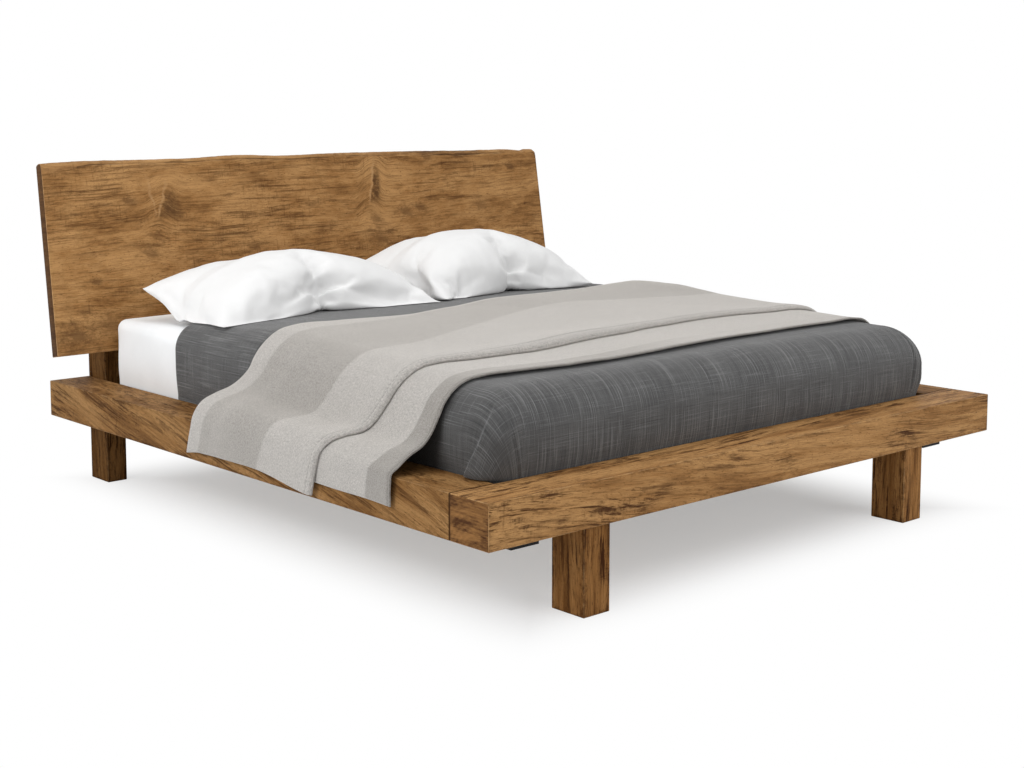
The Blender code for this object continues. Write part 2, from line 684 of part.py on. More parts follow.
def cover(offset, across, along, edge_steps, side_levels, head_edge=None, squareness=2.0):
    """Points and faces of a cover over the mattress, open below, and at the head if it has a head edge.

    offset gives the distance outside the mattress from the fall and the place along the bed. The fall is
    0 on top, 1 below the edge and 2 at the rim.
    """
    foot_line = MATTRESS_FOOT + MATTRESS_FOOT_ROUND
    head_line = head_edge if head_edge else MATTRESS_HEAD - MATTRESS_HEAD_ROUND
    points = []
    faces = []
    top = {}
    for j in range(along + 1):
        y = foot_line + (head_line - foot_line) * j / along
        reach = half_width - edge_round(y)
        for i in range(across + 1):
            x = reach * (2 * i / across - 1)
            top[i, j] = len(points)
            points.append(Vector((x, y, mattress_top(x, y) + offset(0, y))))
    for i in range(across):
        for j in range(along):
            faces.append([top[i, j], top[i + 1, j], top[i + 1, j + 1], top[i, j + 1]])

    def corner(key, start):
        steps = edge_steps
        return [(key, math.radians(start + 90 * s / steps)) for s in range(1, steps)]

    columns = [((0, j), math.pi) for j in range(along, -1, -1)]
    columns += corner((0, 0), 180)
    columns += [((i, 0), 1.5 * math.pi) for i in range(across + 1)]
    columns += corner((across, 0), 270)
    columns += [((across, j), 0.0) for j in range(along + 1)]
    if not head_edge:
        columns += corner((across, along), 0)
        columns += [((i, along), 0.5 * math.pi) for i in range(across, -1, -1)]
        columns += corner((0, along), 90)
    strips = []
    for key, angle in columns:
        inner = points[top[key]]
        facing = Vector((math.cos(angle), math.sin(angle), 0))
        on_side = abs(facing.x) > 0.999
        if on_side or key[1] == 0:
            radius = edge_round(inner.y)
        else:
            radius = MATTRESS_HEAD_ROUND
        middle = inner.z - offset(0, inner.y) - radius
        strip = [top[key]]
        power = 2.0
        for step in range(1, edge_steps + 1):
            fall = step / edge_steps
            power = 2.0 + (squareness - 2.0) * fall
            spread = (abs(facing.x) ** power + abs(facing.y) ** power) ** (-1 / power)
            reach = radius + offset(fall, inner.y)
            out = reach * math.sin(fall * math.pi / 2) * spread
            height = middle + reach * math.cos(fall * math.pi / 2)
            strip.append(len(points))
            points.append(Vector((inner.x + facing.x * out, inner.y + facing.y * out, height)))
        for level in side_levels:
            spread = (abs(facing.x) ** power + abs(facing.y) ** power) ** (-1 / power)
            out = (radius + offset(1 + level, inner.y)) * spread
            height = middle + (MATTRESS_BOTTOM - middle) * level
            strip.append(len(points))
            points.append(Vector((inner.x + facing.x * out, inner.y + facing.y * out, height)))
        strips.append(strip)
    pairs = list(zip(strips, strips[1:]))
    if not head_edge:
        pairs.append((strips[-1], strips[0]))
    for first, second in pairs:
        for row in range(len(first) - 1):
            face = [first[row], first[row + 1], second[row + 1], second[row]]
            if face[0] == face[3]:
                face.pop()
            faces.append(face)
    return points, faces


def shell(outer, inner, faces):
    """Points and faces of a closed skin between two surfaces of the same layout."""
    count = len(outer)
    uses = {}
    for face in faces:
        for a, b in zip(face, face[1:] + face[:1]):
            key = (min(a, b), max(a, b))
            uses[key] = uses.get(key, 0) + 1
    rim = [[a, b, b + count, a + count] for (a, b), times in uses.items() if times == 1]
    under = [[index + count for index in reversed(face)] for face in faces]
    return list(outer) + list(inner), faces + under + rim


def level_run(stops):
    """A function that runs in straight stretches through (place, value) stops."""

    def value_at(place):
        for (start, low), (end, high) in zip(stops, stops[1:]):
            if place <= end:
                return low + (high - low) * (place - start) / (end - start)
        return stops[-1][1]

    return value_at


sheet_layout = (8, MATTRESS_ROWS, MATTRESS_ROUND_STEPS, (1.0,))
mattress_points, mattress_faces = cover(lambda fall, y: 0.0, *sheet_layout)
add_piece(
    "mattress",
    mesh_from("mattress", mattress_points, mattress_faces, smooth=True, fill_open_rim=True),
    TICKING,
    parent=BEDDING,
)

sheet_outside, sheet_faces = cover(lambda fall, y: SHEET_FIT + SHEET_THICKNESS, *sheet_layout)
sheet_inside, sheet_faces = cover(lambda fall, y: SHEET_FIT, *sheet_layout)
add_piece(
    "fitted_sheet",
    mesh_from("fitted_sheet", *shell(sheet_outside, sheet_inside, sheet_faces), smooth=True),
    WHITE_COTTON,
    parent=BEDDING,
)

sheet_surface = SHEET_FIT + SHEET_THICKNESS
duvet_head = MATTRESS_FOOT + DUVET_LENGTH_ON_TOP
beam_top_level = 1 + (MATTRESS_TOP - MATTRESS_FOOT_ROUND - BEAM_TOP) / (
    MATTRESS_TOP - MATTRESS_FOOT_ROUND - MATTRESS_BOTTOM
)
duvet_loft_at = level_run([(FOOT_FACE + place, loft) for place, loft in DUVET_LOFT])


def duvet_outside_at(fall, y):
    """Distance of the outer face from the mattress: full on top, thinner on the falls, tucked at the rim."""
    stops = (
        (0.0, duvet_loft_at(y)),
        (1.0, DUVET_SIDE_LOFT),
        ((1 + beam_top_level) / 2, DUVET_SIDE_LOFT),
        (beam_top_level, DUVET_TUCK),
        (2.0, DUVET_TUCK),
    )
    return sheet_surface + level_run(stops)(fall)


def duvet_inside_at(fall, y):
    """Distance of the inner face from the mattress."""
    stops = ((0.0, DUVET_FIT), (DUVET_FIT_TURN, DUVET_TUCK / 2), (2.0, DUVET_TUCK / 2))
    return sheet_surface + level_run(stops)(fall)


duvet_levels = ((beam_top_level - 1) / 2, beam_top_level - 1, 1.0)
duvet_layout = (12, 14, 5, duvet_levels, duvet_head, DUVET_CORNER_SQUARENESS)
duvet_outside, duvet_faces = cover(duvet_outside_at, *duvet_layout)
duvet_inside, duvet_faces = cover(duvet_inside_at, *duvet_layout)
add_piece(
    "duvet",
    mesh_from("duvet", *shell(duvet_outside, duvet_inside, duvet_faces), smooth=True),
    CHARCOAL_LINEN,
    parent=BEDDING,
)

# Throw: it crosses the bed in two layers, turns over the near edge, steps across the side beam and hangs.


def throw_offset_at(fall, y):
    """Distance of the throw's underside from the mattress over the top and the long edges."""
    lofts = level_run(((0.0, duvet_loft_at(y)), (1.0, DUVET_SIDE_LOFT)))
    return sheet_surface + lofts(fall) + THROW_FIT


beam_outside = -FRAME_WIDTH / 2


def edge_point(y, sign, fall, extra):
    """A point over the rounded long edge of the bedding, at an offset beyond the throw's own underside."""
    radius = edge_round(y)
    inner_x = sign * (half_width - radius)
    middle = mattress_top(inner_x, y) - radius
    reach = radius + throw_offset_at(fall, y) + extra
    angle = fall * math.pi / 2
    return Vector((inner_x + sign * reach * math.sin(angle), y, middle + reach * math.cos(angle)))


def throw_section(y, extra):
    """The throw's section at one place along the bed, from the hanging hem on the left to its right end."""
    hang_x = beam_outside - GAP - extra
    side = edge_point(y, -1, 1.0, extra)
    run = [
        Vector((hang_x, y, THROW_HEM_HEIGHT)),
        Vector((hang_x, y, BEAM_TOP)),
        Vector((hang_x + THROW_TURN / 3, y, BEAM_TOP + THROW_TURN)),
    ]
    start = run[-1]
    end = edge_point(y, -1, THROW_LEFT_FALLS[0], extra)
    sag_x = side.x - (end.x - start.x) * THROW_SAG_OUT
    sag = Vector((sag_x, y, start.z + (end.z - start.z) * THROW_SAG_RISE))
    for share in THROW_DIP_PLACES:
        run.append(start.lerp(sag, share))
    for fall in THROW_LEFT_FALLS:
        run.append(edge_point(y, -1, fall, extra))
    left = run[-1].x
    right = edge_point(y, 1, 0.0, extra).x
    for step in range(1, THROW_TOP_STEPS):
        x = left + (right - left) * step / THROW_TOP_STEPS
        run.append(Vector((x, y, mattress_top(x, y) + throw_offset_at(0.0, y) + extra)))
    for fall in THROW_RIGHT_FALLS:
        run.append(edge_point(y, 1, fall, extra))
    run.append(run[-1] - Vector((0, 0, THROW_RIGHT_DROP)))
    return run


def throw_edge(places, share):
    """Place of one edge of the throw along the bed, from its hem, near edge, middle and far end."""
    return FOOT_FACE + level_run(list(zip(THROW_EDGE_SHARES, places)))(share)


throw_columns = len(throw_section(0.0, 0.0))
throw_outer = []
throw_inner = []
for column in range(throw_columns):
    share = column / (throw_columns - 1)
    head = throw_edge(THROW_HEAD_EDGE, share)
    upper = throw_edge(THROW_UPPER_EDGE, share)
    lower = throw_edge(THROW_LOWER_EDGE, share)
    rows = [(head + (upper - head) * part, 2 * THROW_LAYER) for part in THROW_ROW_SHARES]
    rows += [(upper - THROW_STEP, THROW_LAYER), ((upper + lower) / 2, THROW_LAYER), (lower, THROW_LAYER)]
    for y, thickness in rows:
        throw_outer.append(throw_section(y, thickness)[column])
        throw_inner.append(throw_section(y, 0.0)[column])
throw_rows = len(rows)
throw_faces = []
for column in range(throw_columns - 1):
    for row in range(throw_rows - 1):
        first = column * throw_rows + row
        throw_faces.append([first, first + 1, first + throw_rows + 1, first + throw_rows])
add_piece(
    "throw",
    mesh_from("throw", *shell(throw_outer, throw_inner, throw_faces), smooth=True),
    GREY_KNIT,
    parent=BEDDING,
)

# Pillows: full in the middle, drawn in between their corners, flat where they lie on the bed.


def rest_height(x, y):
    """Top of what a pillow lies on: the duvet up to its edge, then the sheet."""
    bed = mattress_top(max(-half_width, min(half_width, x)), y) + sheet_surface + PILLOW_FIT
    step = duvet_head + PILLOW_BRIDGE
    edge_loft = duvet_loft_at(duvet_head)
    ramp = level_run(((step, edge_loft), (step + PILLOW_BRIDGE, 0.0), (MATTRESS_HEAD, 0.0)))
    return bed + (duvet_loft_at(y) if y < step else ramp(y))


def pillow(name, centre_x):
    """One pillow, tilted up towards the headboard."""
    across, deep = PILLOW_STEPS
    tilt = math.radians(PILLOW_TILT)
    centre_y = MATTRESS_HEAD - PILLOW_HEAD_ROOM - PILLOW_DEPTH / 2 * math.cos(tilt)
    front_y = centre_y - PILLOW_DEPTH / 2 * math.cos(tilt)
    centre_z = rest_height(centre_x, front_y) + PILLOW_DEPTH / 2 * math.sin(tilt)
    centre = Vector((centre_x, centre_y, centre_z))
    lean = Matrix.Rotation(tilt, 3, "X")
    points = []
    numbers = {}
    for i in range(across + 1):
        for j in range(deep + 1):
            u = math.sin(math.pi / 2 * (2 * i / across - 1))
            v = math.sin(math.pi / 2 * (2 * j / deep - 1))
            x = PILLOW_WIDTH / 2 * u * (1 - PILLOW_DRAWN_IN * (1 - v * v))
            y = PILLOW_DEPTH / 2 * v * (1 - PILLOW_DRAWN_IN * (1 - u * u))
            fill = PILLOW_LOFT * ((1 - u * u) * (1 - v * v)) ** PILLOW_FULLNESS
            on_seam = i in (0, across) or j in (0, deep)
            for face_sign in (1, -1):
                if on_seam and face_sign == -1:
                    numbers[i, j, -1] = numbers[i, j, 1]
                    continue
                place = centre + lean @ Vector((x, y, face_sign * fill))
                place.z = max(place.z, rest_height(place.x, place.y))
                numbers[i, j, face_sign] = len(points)
                points.append(place - centre)
    faces = []
    for i in range(across):
        for j in range(deep):
            for face_sign in (1, -1):
                square = ((i, j), (i + 1, j), (i + 1, j + 1), (i, j + 1))
                faces.append([numbers[a, b, face_sign] for a, b in square])
    add_piece(name, mesh_from(name, points, faces, smooth=True), WHITE_COTTON, centre, parent=BEDDING)


for side, centre_x in PILLOW_CENTRES:
    pillow(side + "_pillow", centre_x)
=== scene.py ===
"""The looks of a king platform bed in stained wood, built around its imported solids."""

import math
from types import SimpleNamespace

import bpy
from mathutils import Matrix, Vector, noise


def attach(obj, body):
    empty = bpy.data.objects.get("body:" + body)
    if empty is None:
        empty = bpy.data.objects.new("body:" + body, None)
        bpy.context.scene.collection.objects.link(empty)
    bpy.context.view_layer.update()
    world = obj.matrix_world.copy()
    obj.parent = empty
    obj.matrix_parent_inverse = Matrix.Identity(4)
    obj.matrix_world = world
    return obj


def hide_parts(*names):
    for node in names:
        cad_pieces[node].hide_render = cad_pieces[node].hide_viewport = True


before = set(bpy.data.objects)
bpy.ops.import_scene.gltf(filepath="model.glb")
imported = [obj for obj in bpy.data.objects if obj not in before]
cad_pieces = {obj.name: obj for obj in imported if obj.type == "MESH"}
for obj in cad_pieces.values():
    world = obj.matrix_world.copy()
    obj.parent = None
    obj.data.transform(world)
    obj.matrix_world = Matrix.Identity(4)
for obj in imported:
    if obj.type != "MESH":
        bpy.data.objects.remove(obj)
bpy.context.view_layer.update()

# Frame beams
# Three solid beams of planed hardwood under a warm brown stain, which the blotchy grain takes up unevenly.
# The foot beam runs the full width and shows its end grain, and the side beams butt against its back.


def place(tree, kind, sockets=None, **settings):
    """Adds a shader node and feeds its sockets with plain values or with the outputs of other nodes."""
    made = tree.nodes.new(kind)
    for setting, value in settings.items():
        setattr(made, setting, value)
    for socket, value in (sockets or {}).items():
        if isinstance(value, bpy.types.NodeSocket):
            tree.links.new(value, made.inputs[socket])
        else:
            made.inputs[socket].default_value = value
    return made


def reckon(tree, operation, *values, clamp=False):
    """One sum on values."""
    made = place(tree, "ShaderNodeMath", dict(enumerate(values)), operation=operation, use_clamp=clamp)
    return made.outputs[0]


def reckon_vector(tree, operation, *values):
    """One sum on vectors."""
    return place(tree, "ShaderNodeVectorMath", dict(enumerate(values)), operation=operation).outputs[0]


def split(tree, vector):
    """The three parts of a vector."""
    return place(tree, "ShaderNodeSeparateXYZ", {0: vector}).outputs


def between(tree, value, low, high):
    """Runs smoothly from 0 at low to 1 at high."""
    made = place(
        tree,
        "ShaderNodeMapRange",
        {"Value": value, "From Min": low, "From Max": high},
        interpolation_type="SMOOTHSTEP",
    )
    return made.outputs[0]


def tint(tree, share, first, second, way="MIX"):
    """Lays the second colour over the first by a share."""
    made = place(tree, "ShaderNodeMix", data_type="RGBA", blend_type=way)
    for socket, value in ((0, share), (6, first), (7, second)):
        if isinstance(value, bpy.types.NodeSocket):
            tree.links.new(value, made.inputs[socket])
        else:
            made.inputs[socket].default_value = value
    return made.outputs[2]


def grey(tree, value):
    """A grey of a given level."""
    return place(tree, "ShaderNodeCombineColor", {"Red": value, "Green": value, "Blue": value}).outputs[0]


def mottle(tree, vector, stretch, detail=3.0, rough=0.5):
    """Noise whose spots are drawn out by unlike scales along the three axes, in spots a metre."""
    drawn = place(tree, "ShaderNodeMapping", {"Vector": vector, "Scale": stretch}, vector_type="POINT")
    made = place(
        tree,
        "ShaderNodeTexNoise",
        {"Vector": drawn.outputs[0], "Scale": 1.0, "Detail": detail, "Roughness": rough},
    )
    return made.outputs[0]


def new_group(name, inputs, outputs):
    """An empty node group with named sockets, and its two end nodes."""
    tree = bpy.data.node_groups.new(name, "ShaderNodeTree")
    for label, kind in inputs:
        tree.interface.new_socket(name=label, in_out="INPUT", socket_type=kind)
    for label, kind in outputs:
        tree.interface.new_socket(name=label, in_out="OUTPUT", socket_type=kind)
    return tree, tree.nodes.new("NodeGroupInput"), tree.nodes.new("NodeGroupOutput")


def new_finish(name):
    """A material with its shader, ready to be fed."""
    material = bpy.data.materials.new(name)
    material.use_nodes = True
    return material, material.node_tree, material.node_tree.nodes["Principled BSDF"]


def feed(tree, shader, colour, roughness, strength, distance, height):
    """Gives a finish its colour and roughness, and a relief of some strength over a distance in metres."""
    relief = place(tree, "ShaderNodeBump", {"Strength": strength, "Distance": distance, "Height": height})
    for socket, value in (("Base Color", colour), ("Roughness", roughness), ("Normal", relief.outputs[0])):
        tree.links.new(value, shader.inputs[socket])


def toned(colour, share):
    """A solid colour at a share of its strength."""
    return tuple(part * share for part in colour[:3]) + (1.0,)


def stain_figure_group():
    """Stained face grain. The vector runs along the grain in x and across it in y and z, in metres."""
    tree, given, put = new_group(
        "stain_figure",
        (
            ("Vector", "NodeSocketVector"),
            ("Light", "NodeSocketColor"),
            ("Middle", "NodeSocketColor"),
            ("Dark", "NodeSocketColor"),
            ("Streak", "NodeSocketFloat"),
            ("Smear", "NodeSocketFloat"),
            ("Cloud", "NodeSocketFloat"),
        ),
        (("Color", "NodeSocketColor"), ("Roughness", "NodeSocketFloat"), ("Height", "NodeSocketFloat")),
    )
    along = given.outputs["Vector"]
    wander = mottle(tree, along, (1.1, 3.5, 3.5), 2.0)
    sway = reckon(tree, "MULTIPLY_ADD", wander, 0.10, -0.05)
    swayed = place(tree, "ShaderNodeCombineXYZ", {"Y": sway, "Z": sway})
    grain = reckon_vector(tree, "ADD", along, swayed.outputs[0])
    bands = mottle(tree, grain, (1.2, 17.0, 17.0), 6.0, 0.64)
    streaks = mottle(tree, grain, (4.2, 85.0, 85.0), 6.0, 0.68)
    hairs = mottle(tree, grain, (11.0, 260.0, 260.0), 3.0, 0.6)
    fibres = mottle(tree, grain, (26.0, 520.0, 520.0), 2.0)
    smears = mottle(tree, grain, (9.0, 42.0, 42.0), 8.0, 0.74)
    patches = mottle(tree, along, (2.6, 8.0, 8.0), 4.0, 0.6)
    chatter = mottle(tree, along, (230.0, 22.0, 22.0), 3.0, 0.6)
    pores = mottle(tree, grain, (70.0, 330.0, 330.0), 2.0, 0.5)
    clouds = mottle(tree, grain, (4.2, 10.0, 10.0), 7.0, 0.70)
    lines = mottle(tree, grain, (1.7, 170.0, 170.0), 4.0, 0.62)
    flecks = mottle(tree, along, (120.0, 11.0, 11.0), 5.0, 0.68)
    grit = mottle(tree, along, (420.0, 420.0, 420.0), 2.0, 0.6)
    clouded = reckon(tree, "SUBTRACT", clouds, bands)
    base = reckon(tree, "MULTIPLY_ADD", clouded, given.outputs["Cloud"], bands)
    colour = tint(tree, between(tree, base, 0.38, 0.60), given.outputs["Middle"], given.outputs["Light"])
    soft = reckon(tree, "MULTIPLY", between(tree, base, 0.46, 0.33), 0.40)
    colour = tint(tree, soft, colour, given.outputs["Dark"])
    pale = reckon(tree, "MULTIPLY", between(tree, streaks, 0.43, 0.31), 0.55)
    colour = tint(tree, pale, colour, given.outputs["Light"])
    cluster = reckon(tree, "MULTIPLY_ADD", between(tree, patches, 0.40, 0.58), 0.70, 0.30)
    streak = reckon(tree, "MULTIPLY", between(tree, streaks, 0.515, 0.605), given.outputs["Streak"])
    colour = tint(tree, reckon(tree, "MULTIPLY", streak, cluster), colour, given.outputs["Dark"])
    hair = reckon(tree, "MULTIPLY", between(tree, hairs, 0.50, 0.74), 0.42)
    colour = tint(tree, hair, colour, given.outputs["Dark"])
    marks = reckon(tree, "MULTIPLY_ADD", between(tree, chatter, 0.40, 0.60), 0.42, 0.58)
    smear = reckon(tree, "MULTIPLY", between(tree, smears, 0.48, 0.62), between(tree, patches, 0.45, 0.60))
    smear = reckon(tree, "MULTIPLY", reckon(tree, "MULTIPLY", smear, marks), given.outputs["Smear"])
    colour = tint(tree, smear, colour, given.outputs["Dark"])
    line = reckon(tree, "MULTIPLY", between(tree, lines, 0.54, 0.70), 0.50)
    colour = tint(tree, line, colour, given.outputs["Dark"])
    gleam = reckon(tree, "MULTIPLY", between(tree, lines, 0.44, 0.30), 0.40)
    colour = tint(tree, gleam, colour, given.outputs["Light"])
    fleck = reckon(tree, "MULTIPLY", between(tree, flecks, 0.55, 0.68), between(tree, patches, 0.46, 0.60))
    colour = tint(tree, reckon(tree, "MULTIPLY", fleck, 0.42), colour, given.outputs["Dark"])
    pore = reckon(tree, "MULTIPLY", between(tree, pores, 0.60, 0.71), 0.55)
    colour = tint(tree, pore, colour, given.outputs["Dark"])
    thread = reckon(tree, "MULTIPLY_ADD", fibres, 0.72, reckon(tree, "MULTIPLY_ADD", grit, 0.44, 0.42))
    colour = tint(tree, 1.0, colour, grey(tree, thread), "MULTIPLY")
    tree.links.new(colour, put.inputs["Color"])
    tree.links.new(reckon(tree, "MULTIPLY_ADD", streaks, 0.24, 0.48), put.inputs["Roughness"])
    height = reckon(tree, "SUBTRACT", reckon(tree, "MULTIPLY_ADD", fibres, 0.35, streaks), smear)
    tree.links.new(height, put.inputs["Height"])
    return tree


def end_grain_group():
    """Stained end grain: growth rings about a pith, with rays across them.

    The vector has the rings in x and y.
    """
    tree, given, put = new_group(
        "end_grain",
        (("Vector", "NodeSocketVector"), ("Middle", "NodeSocketColor"), ("Dark", "NodeSocketColor")),
        (("Color", "NodeSocketColor"),),
    )
    apart = split(tree, given.outputs["Vector"])
    level = place(tree, "ShaderNodeCombineXYZ", {"X": apart[0], "Y": apart[1]})
    radius = place(tree, "ShaderNodeVectorMath", {0: level.outputs[0]}, operation="LENGTH").outputs["Value"]
    wobble = mottle(tree, given.outputs["Vector"], (12.0, 12.0, 12.0), 3.0)
    turns = reckon(tree, "MULTIPLY_ADD", wobble, 9.0, reckon(tree, "MULTIPLY", radius, 480.0))
    ring = reckon(tree, "MULTIPLY_ADD", reckon(tree, "SINE", turns), 0.07, 0.12)
    spots = between(tree, mottle(tree, given.outputs["Vector"], (8.0, 110.0, 40.0), 6.0, 0.74), 0.40, 0.60)
    smudge = between(tree, mottle(tree, given.outputs["Vector"], (16.0, 30.0, 30.0), 5.0, 0.66), 0.42, 0.62)
    spots = reckon(tree, "MULTIPLY_ADD", smudge, 0.45, reckon(tree, "MULTIPLY", spots, 0.45))
    share = reckon(tree, "ADD", spots, ring, clamp=True)
    tree.links.new(tint(tree, share, given.outputs["Middle"], given.outputs["Dark"]), put.inputs["Color"])
    return tree


def worn_arris_group():
    """Mask of the eased edges, where the stain is rubbed thin.

    It is read from the slope of the narrow facets.
    """
    tree, given, put = new_group(
        "worn_arris", (("Vector", "NodeSocketVector"),), (("Mask", "NodeSocketFloat"),)
    )
    facing = place(tree, "ShaderNodeNewGeometry").outputs["True Normal"]
    size = reckon_vector(tree, "ABSOLUTE", facing)
    part = split(tree, size)
    widest = reckon(tree, "MAXIMUM", reckon(tree, "MAXIMUM", part[0], part[1]), part[2])
    facet = between(tree, widest, 0.93, 0.80)
    rubbed = between(tree, mottle(tree, given.outputs["Vector"], (16.0, 16.0, 16.0), 4.0, 0.7), 0.36, 0.64)
    tree.links.new(reckon(tree, "MULTIPLY", facet, rubbed), put.inputs["Mask"])
    return tree


def edge_stain_group():
    """Mask of the dark stain that gathers along the edges of a squared piece.

    Low and High are its corners.
    """
    tree, given, put = new_group(
        "edge_stain",
        (("Vector", "NodeSocketVector"), ("Low", "NodeSocketVector"), ("High", "NodeSocketVector")),
        (("Mask", "NodeSocketFloat"),),
    )
    above = reckon_vector(tree, "SUBTRACT", given.outputs["Vector"], given.outputs["Low"])
    below = reckon_vector(tree, "SUBTRACT", given.outputs["High"], given.outputs["Vector"])
    part = split(tree, reckon_vector(tree, "MINIMUM", above, below))
    least = reckon(tree, "MINIMUM", part[0], part[1])
    most = reckon(tree, "MAXIMUM", part[0], part[1])
    far = reckon(tree, "MAXIMUM", least, reckon(tree, "MINIMUM", most, part[2]))
    ragged = mottle(tree, given.outputs["Vector"], (26.0, 26.0, 26.0), 6.0, 0.72)
    far = reckon(tree, "ADD", far, reckon(tree, "MULTIPLY_ADD", ragged, 0.070, -0.032))
    tree.links.new(between(tree, far, 0.012, -0.004), put.inputs["Mask"])
    return tree


STAIN_FIGURE = stain_figure_group()
END_GRAIN = end_grain_group()
WORN_ARRIS = worn_arris_group()
EDGE_STAIN = edge_stain_group()
BROWN_STAIN = ((0.455, 0.247, 0.094), (0.300, 0.145, 0.047), (0.062, 0.023, 0.0065))
RUBBED_STAIN = (0.520, 0.325, 0.155, 1.0)
GRAIN_ORDERS = {"X": (0, 1, 2), "Y": (1, 0, 2), "Z": (2, 0, 1)}


def figured_wood(
    name,
    corners,
    grain,
    offset,
    slope=0.0,
    streak=0.5,
    smear=0.9,
    pith=(0.03, -0.16),
    shade=1.0,
    edges=0.5,
    cloud=0.0,
    joint=None,
    tones=BROWN_STAIN,
):
    """Wood with its grain along one axis of a piece between two corners, tilted by a slope in degrees.

    A joint is where the piece butts against its neighbour along y, and shows as a dark line.
    """
    material, tree, shader = new_finish(name)
    spot = place(tree, "ShaderNodeTexCoord").outputs["Object"]
    apart = split(tree, spot)
    first, second, third = GRAIN_ORDERS[grain]
    turned = place(
        tree,
        "ShaderNodeCombineXYZ",
        {"X": apart[first], "Y": apart[second], "Z": apart[third]},
    )
    tilted = place(
        tree,
        "ShaderNodeMapping",
        {"Vector": turned.outputs[0], "Location": offset, "Rotation": (0.0, math.radians(slope), 0.0)},
    )
    # Each piece's tones are scaled by one factor. For the slats it is a real difference of tone; for the side
    # beams, front legs and headboard posts it is painted shade, darkening them for the shade they are seen
    # in.
    light, middle, dark = [toned(tone, shade) for tone in tones]
    figure = place(
        tree,
        "ShaderNodeGroup",
        {
            "Vector": tilted.outputs[0],
            "Light": light,
            "Middle": middle,
            "Dark": dark,
            "Streak": streak,
            "Smear": smear,
            "Cloud": cloud,
        },
        node_tree=STAIN_FIGURE,
    )
    across = place(
        tree,
        "ShaderNodeCombineXYZ",
        {
            "X": reckon(tree, "SUBTRACT", apart[second], pith[0]),
            "Y": reckon(tree, "SUBTRACT", apart[third], pith[1]),
            "Z": apart[first],
        },
    )
    rings = place(
        tree,
        "ShaderNodeGroup",
        {"Vector": across.outputs[0], "Middle": toned(middle, 0.98), "Dark": dark},
        node_tree=END_GRAIN,
    )
    facing = split(tree, place(tree, "ShaderNodeNewGeometry").outputs["True Normal"])
    on_end = between(tree, reckon(tree, "ABSOLUTE", facing[first]), 0.75, 0.90)
    colour = tint(tree, on_end, figure.outputs["Color"], rings.outputs["Color"])
    gathered = place(
        tree,
        "ShaderNodeGroup",
        {"Vector": spot, "Low": corners[0], "High": corners[1]},
        node_tree=EDGE_STAIN,
    )
    colour = tint(tree, reckon(tree, "MULTIPLY", gathered.outputs["Mask"], edges), colour, dark)
    arris = place(tree, "ShaderNodeGroup", {"Vector": spot}, node_tree=WORN_ARRIS)
    worn = reckon(tree, "MULTIPLY", arris.outputs["Mask"], 0.55)
    colour = tint(tree, worn, colour, toned(RUBBED_STAIN, shade))
    if joint is not None:
        near = reckon(tree, "ABSOLUTE", reckon(tree, "SUBTRACT", apart[1], joint))
        seam = reckon(tree, "MULTIPLY", between(tree, near, 0.0052, 0.0018), 0.85)
        colour = tint(tree, seam, colour, toned(dark, 0.8))
    feed(tree, shader, colour, figure.outputs["Roughness"], 0.35, 0.0012, figure.outputs["Height"])
    shader.inputs["Specular IOR Level"].default_value = 0.08 * shade**2
    return material


def dress(node, material):
    """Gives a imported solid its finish."""
    cad_pieces[node].data.materials.clear()
    cad_pieces[node].data.materials.append(material)


def dress_wood(node, name, *figure, **finish):
    """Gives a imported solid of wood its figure, and stain along its own edges."""
    spots = [vertex.co for vertex in cad_pieces[node].data.vertices]
    corners = [tuple(choose(spot[axis] for spot in spots) for axis in range(3)) for choose in (min, max)]
    dress(node, figured_wood(name, corners, *figure, **finish))


foot_back = max(vertex.co.y for vertex in cad_pieces["foot_beam"].data.vertices)
dress_wood(
    "foot_beam", "foot_beam_stain", "X", (2.3, 0.4, 0.9), -5.0, 1.0, 1.0, pith=(-1.15, 0.22), joint=foot_back
)
# The side beams are darkened to 0.74 of the stain: painted shade, which keeps the left beam's outer face dark
# under the side lamp.
for side, offset, slope in (("left", (0.7, 1.9, 0.3), 14.0), ("right", (4.1, 0.2, 1.7), -9.0)):
    finish = side + "_beam_stain"
    dress_wood(side + "_side_beam", finish, "Y", offset, slope, 0.8, 0.7, shade=0.74, joint=foot_back)

# Front legs
# Two short square legs with upright grain, each screwed up against the underside of the foot beam by a hanger
# bolt that does not show.

RED_STAIN = ((0.455, 0.226, 0.077), (0.300, 0.132, 0.037), (0.062, 0.020, 0.005))
# The legs are darkened, the left one more: painted shade for their place under the foot beam.
for side, offset, slope, shade in (
    ("left", (0.3, 2.1, 0.8), 2.0, 0.73),
    ("right", (1.3, 0.6, 2.8), -3.0, 0.80),
):
    name = "front_" + side + "_leg"
    dress_wood(name, name + "_stain", "Z", offset, slope, 1.3, 1.0, shade=shade, edges=0.80, tones=RED_STAIN)

# Headboard posts and head rail
# Two upright posts inside the side beams, cut back at the top to the lean of the headboard, and a rail that
# is tenoned between them at the height of the beams.

# The posts are darkened to 0.38 of their stain: painted shade for their place in the shade under the
# headboard.
POST_TONE_AND_SHADE = {"shade": 0.38, "edges": 0.85, "tones": RED_STAIN}
for side, offset, slope in (("left", (2.6, 0.1, 1.1), 2.5), ("right", (0.9, 1.6, 0.2), -2.0)):
    finish = side + "_post_stain"
    dress_wood(side + "_headboard_post", finish, "Z", offset, slope, 1.2, 1.0, **POST_TONE_AND_SHADE)
dress_wood("head_rail", "head_rail_stain", "X", (5.2, 0.8, 0.5), 1.0, 0.9, 0.9, shade=0.50)

# Headboard
# One thick slab, sawn to length and left with the wavy edge of the tree on top, under the same stain. Its
# ends are darker, two crotch figures and a few knots show on its face, and it leans back against the posts.

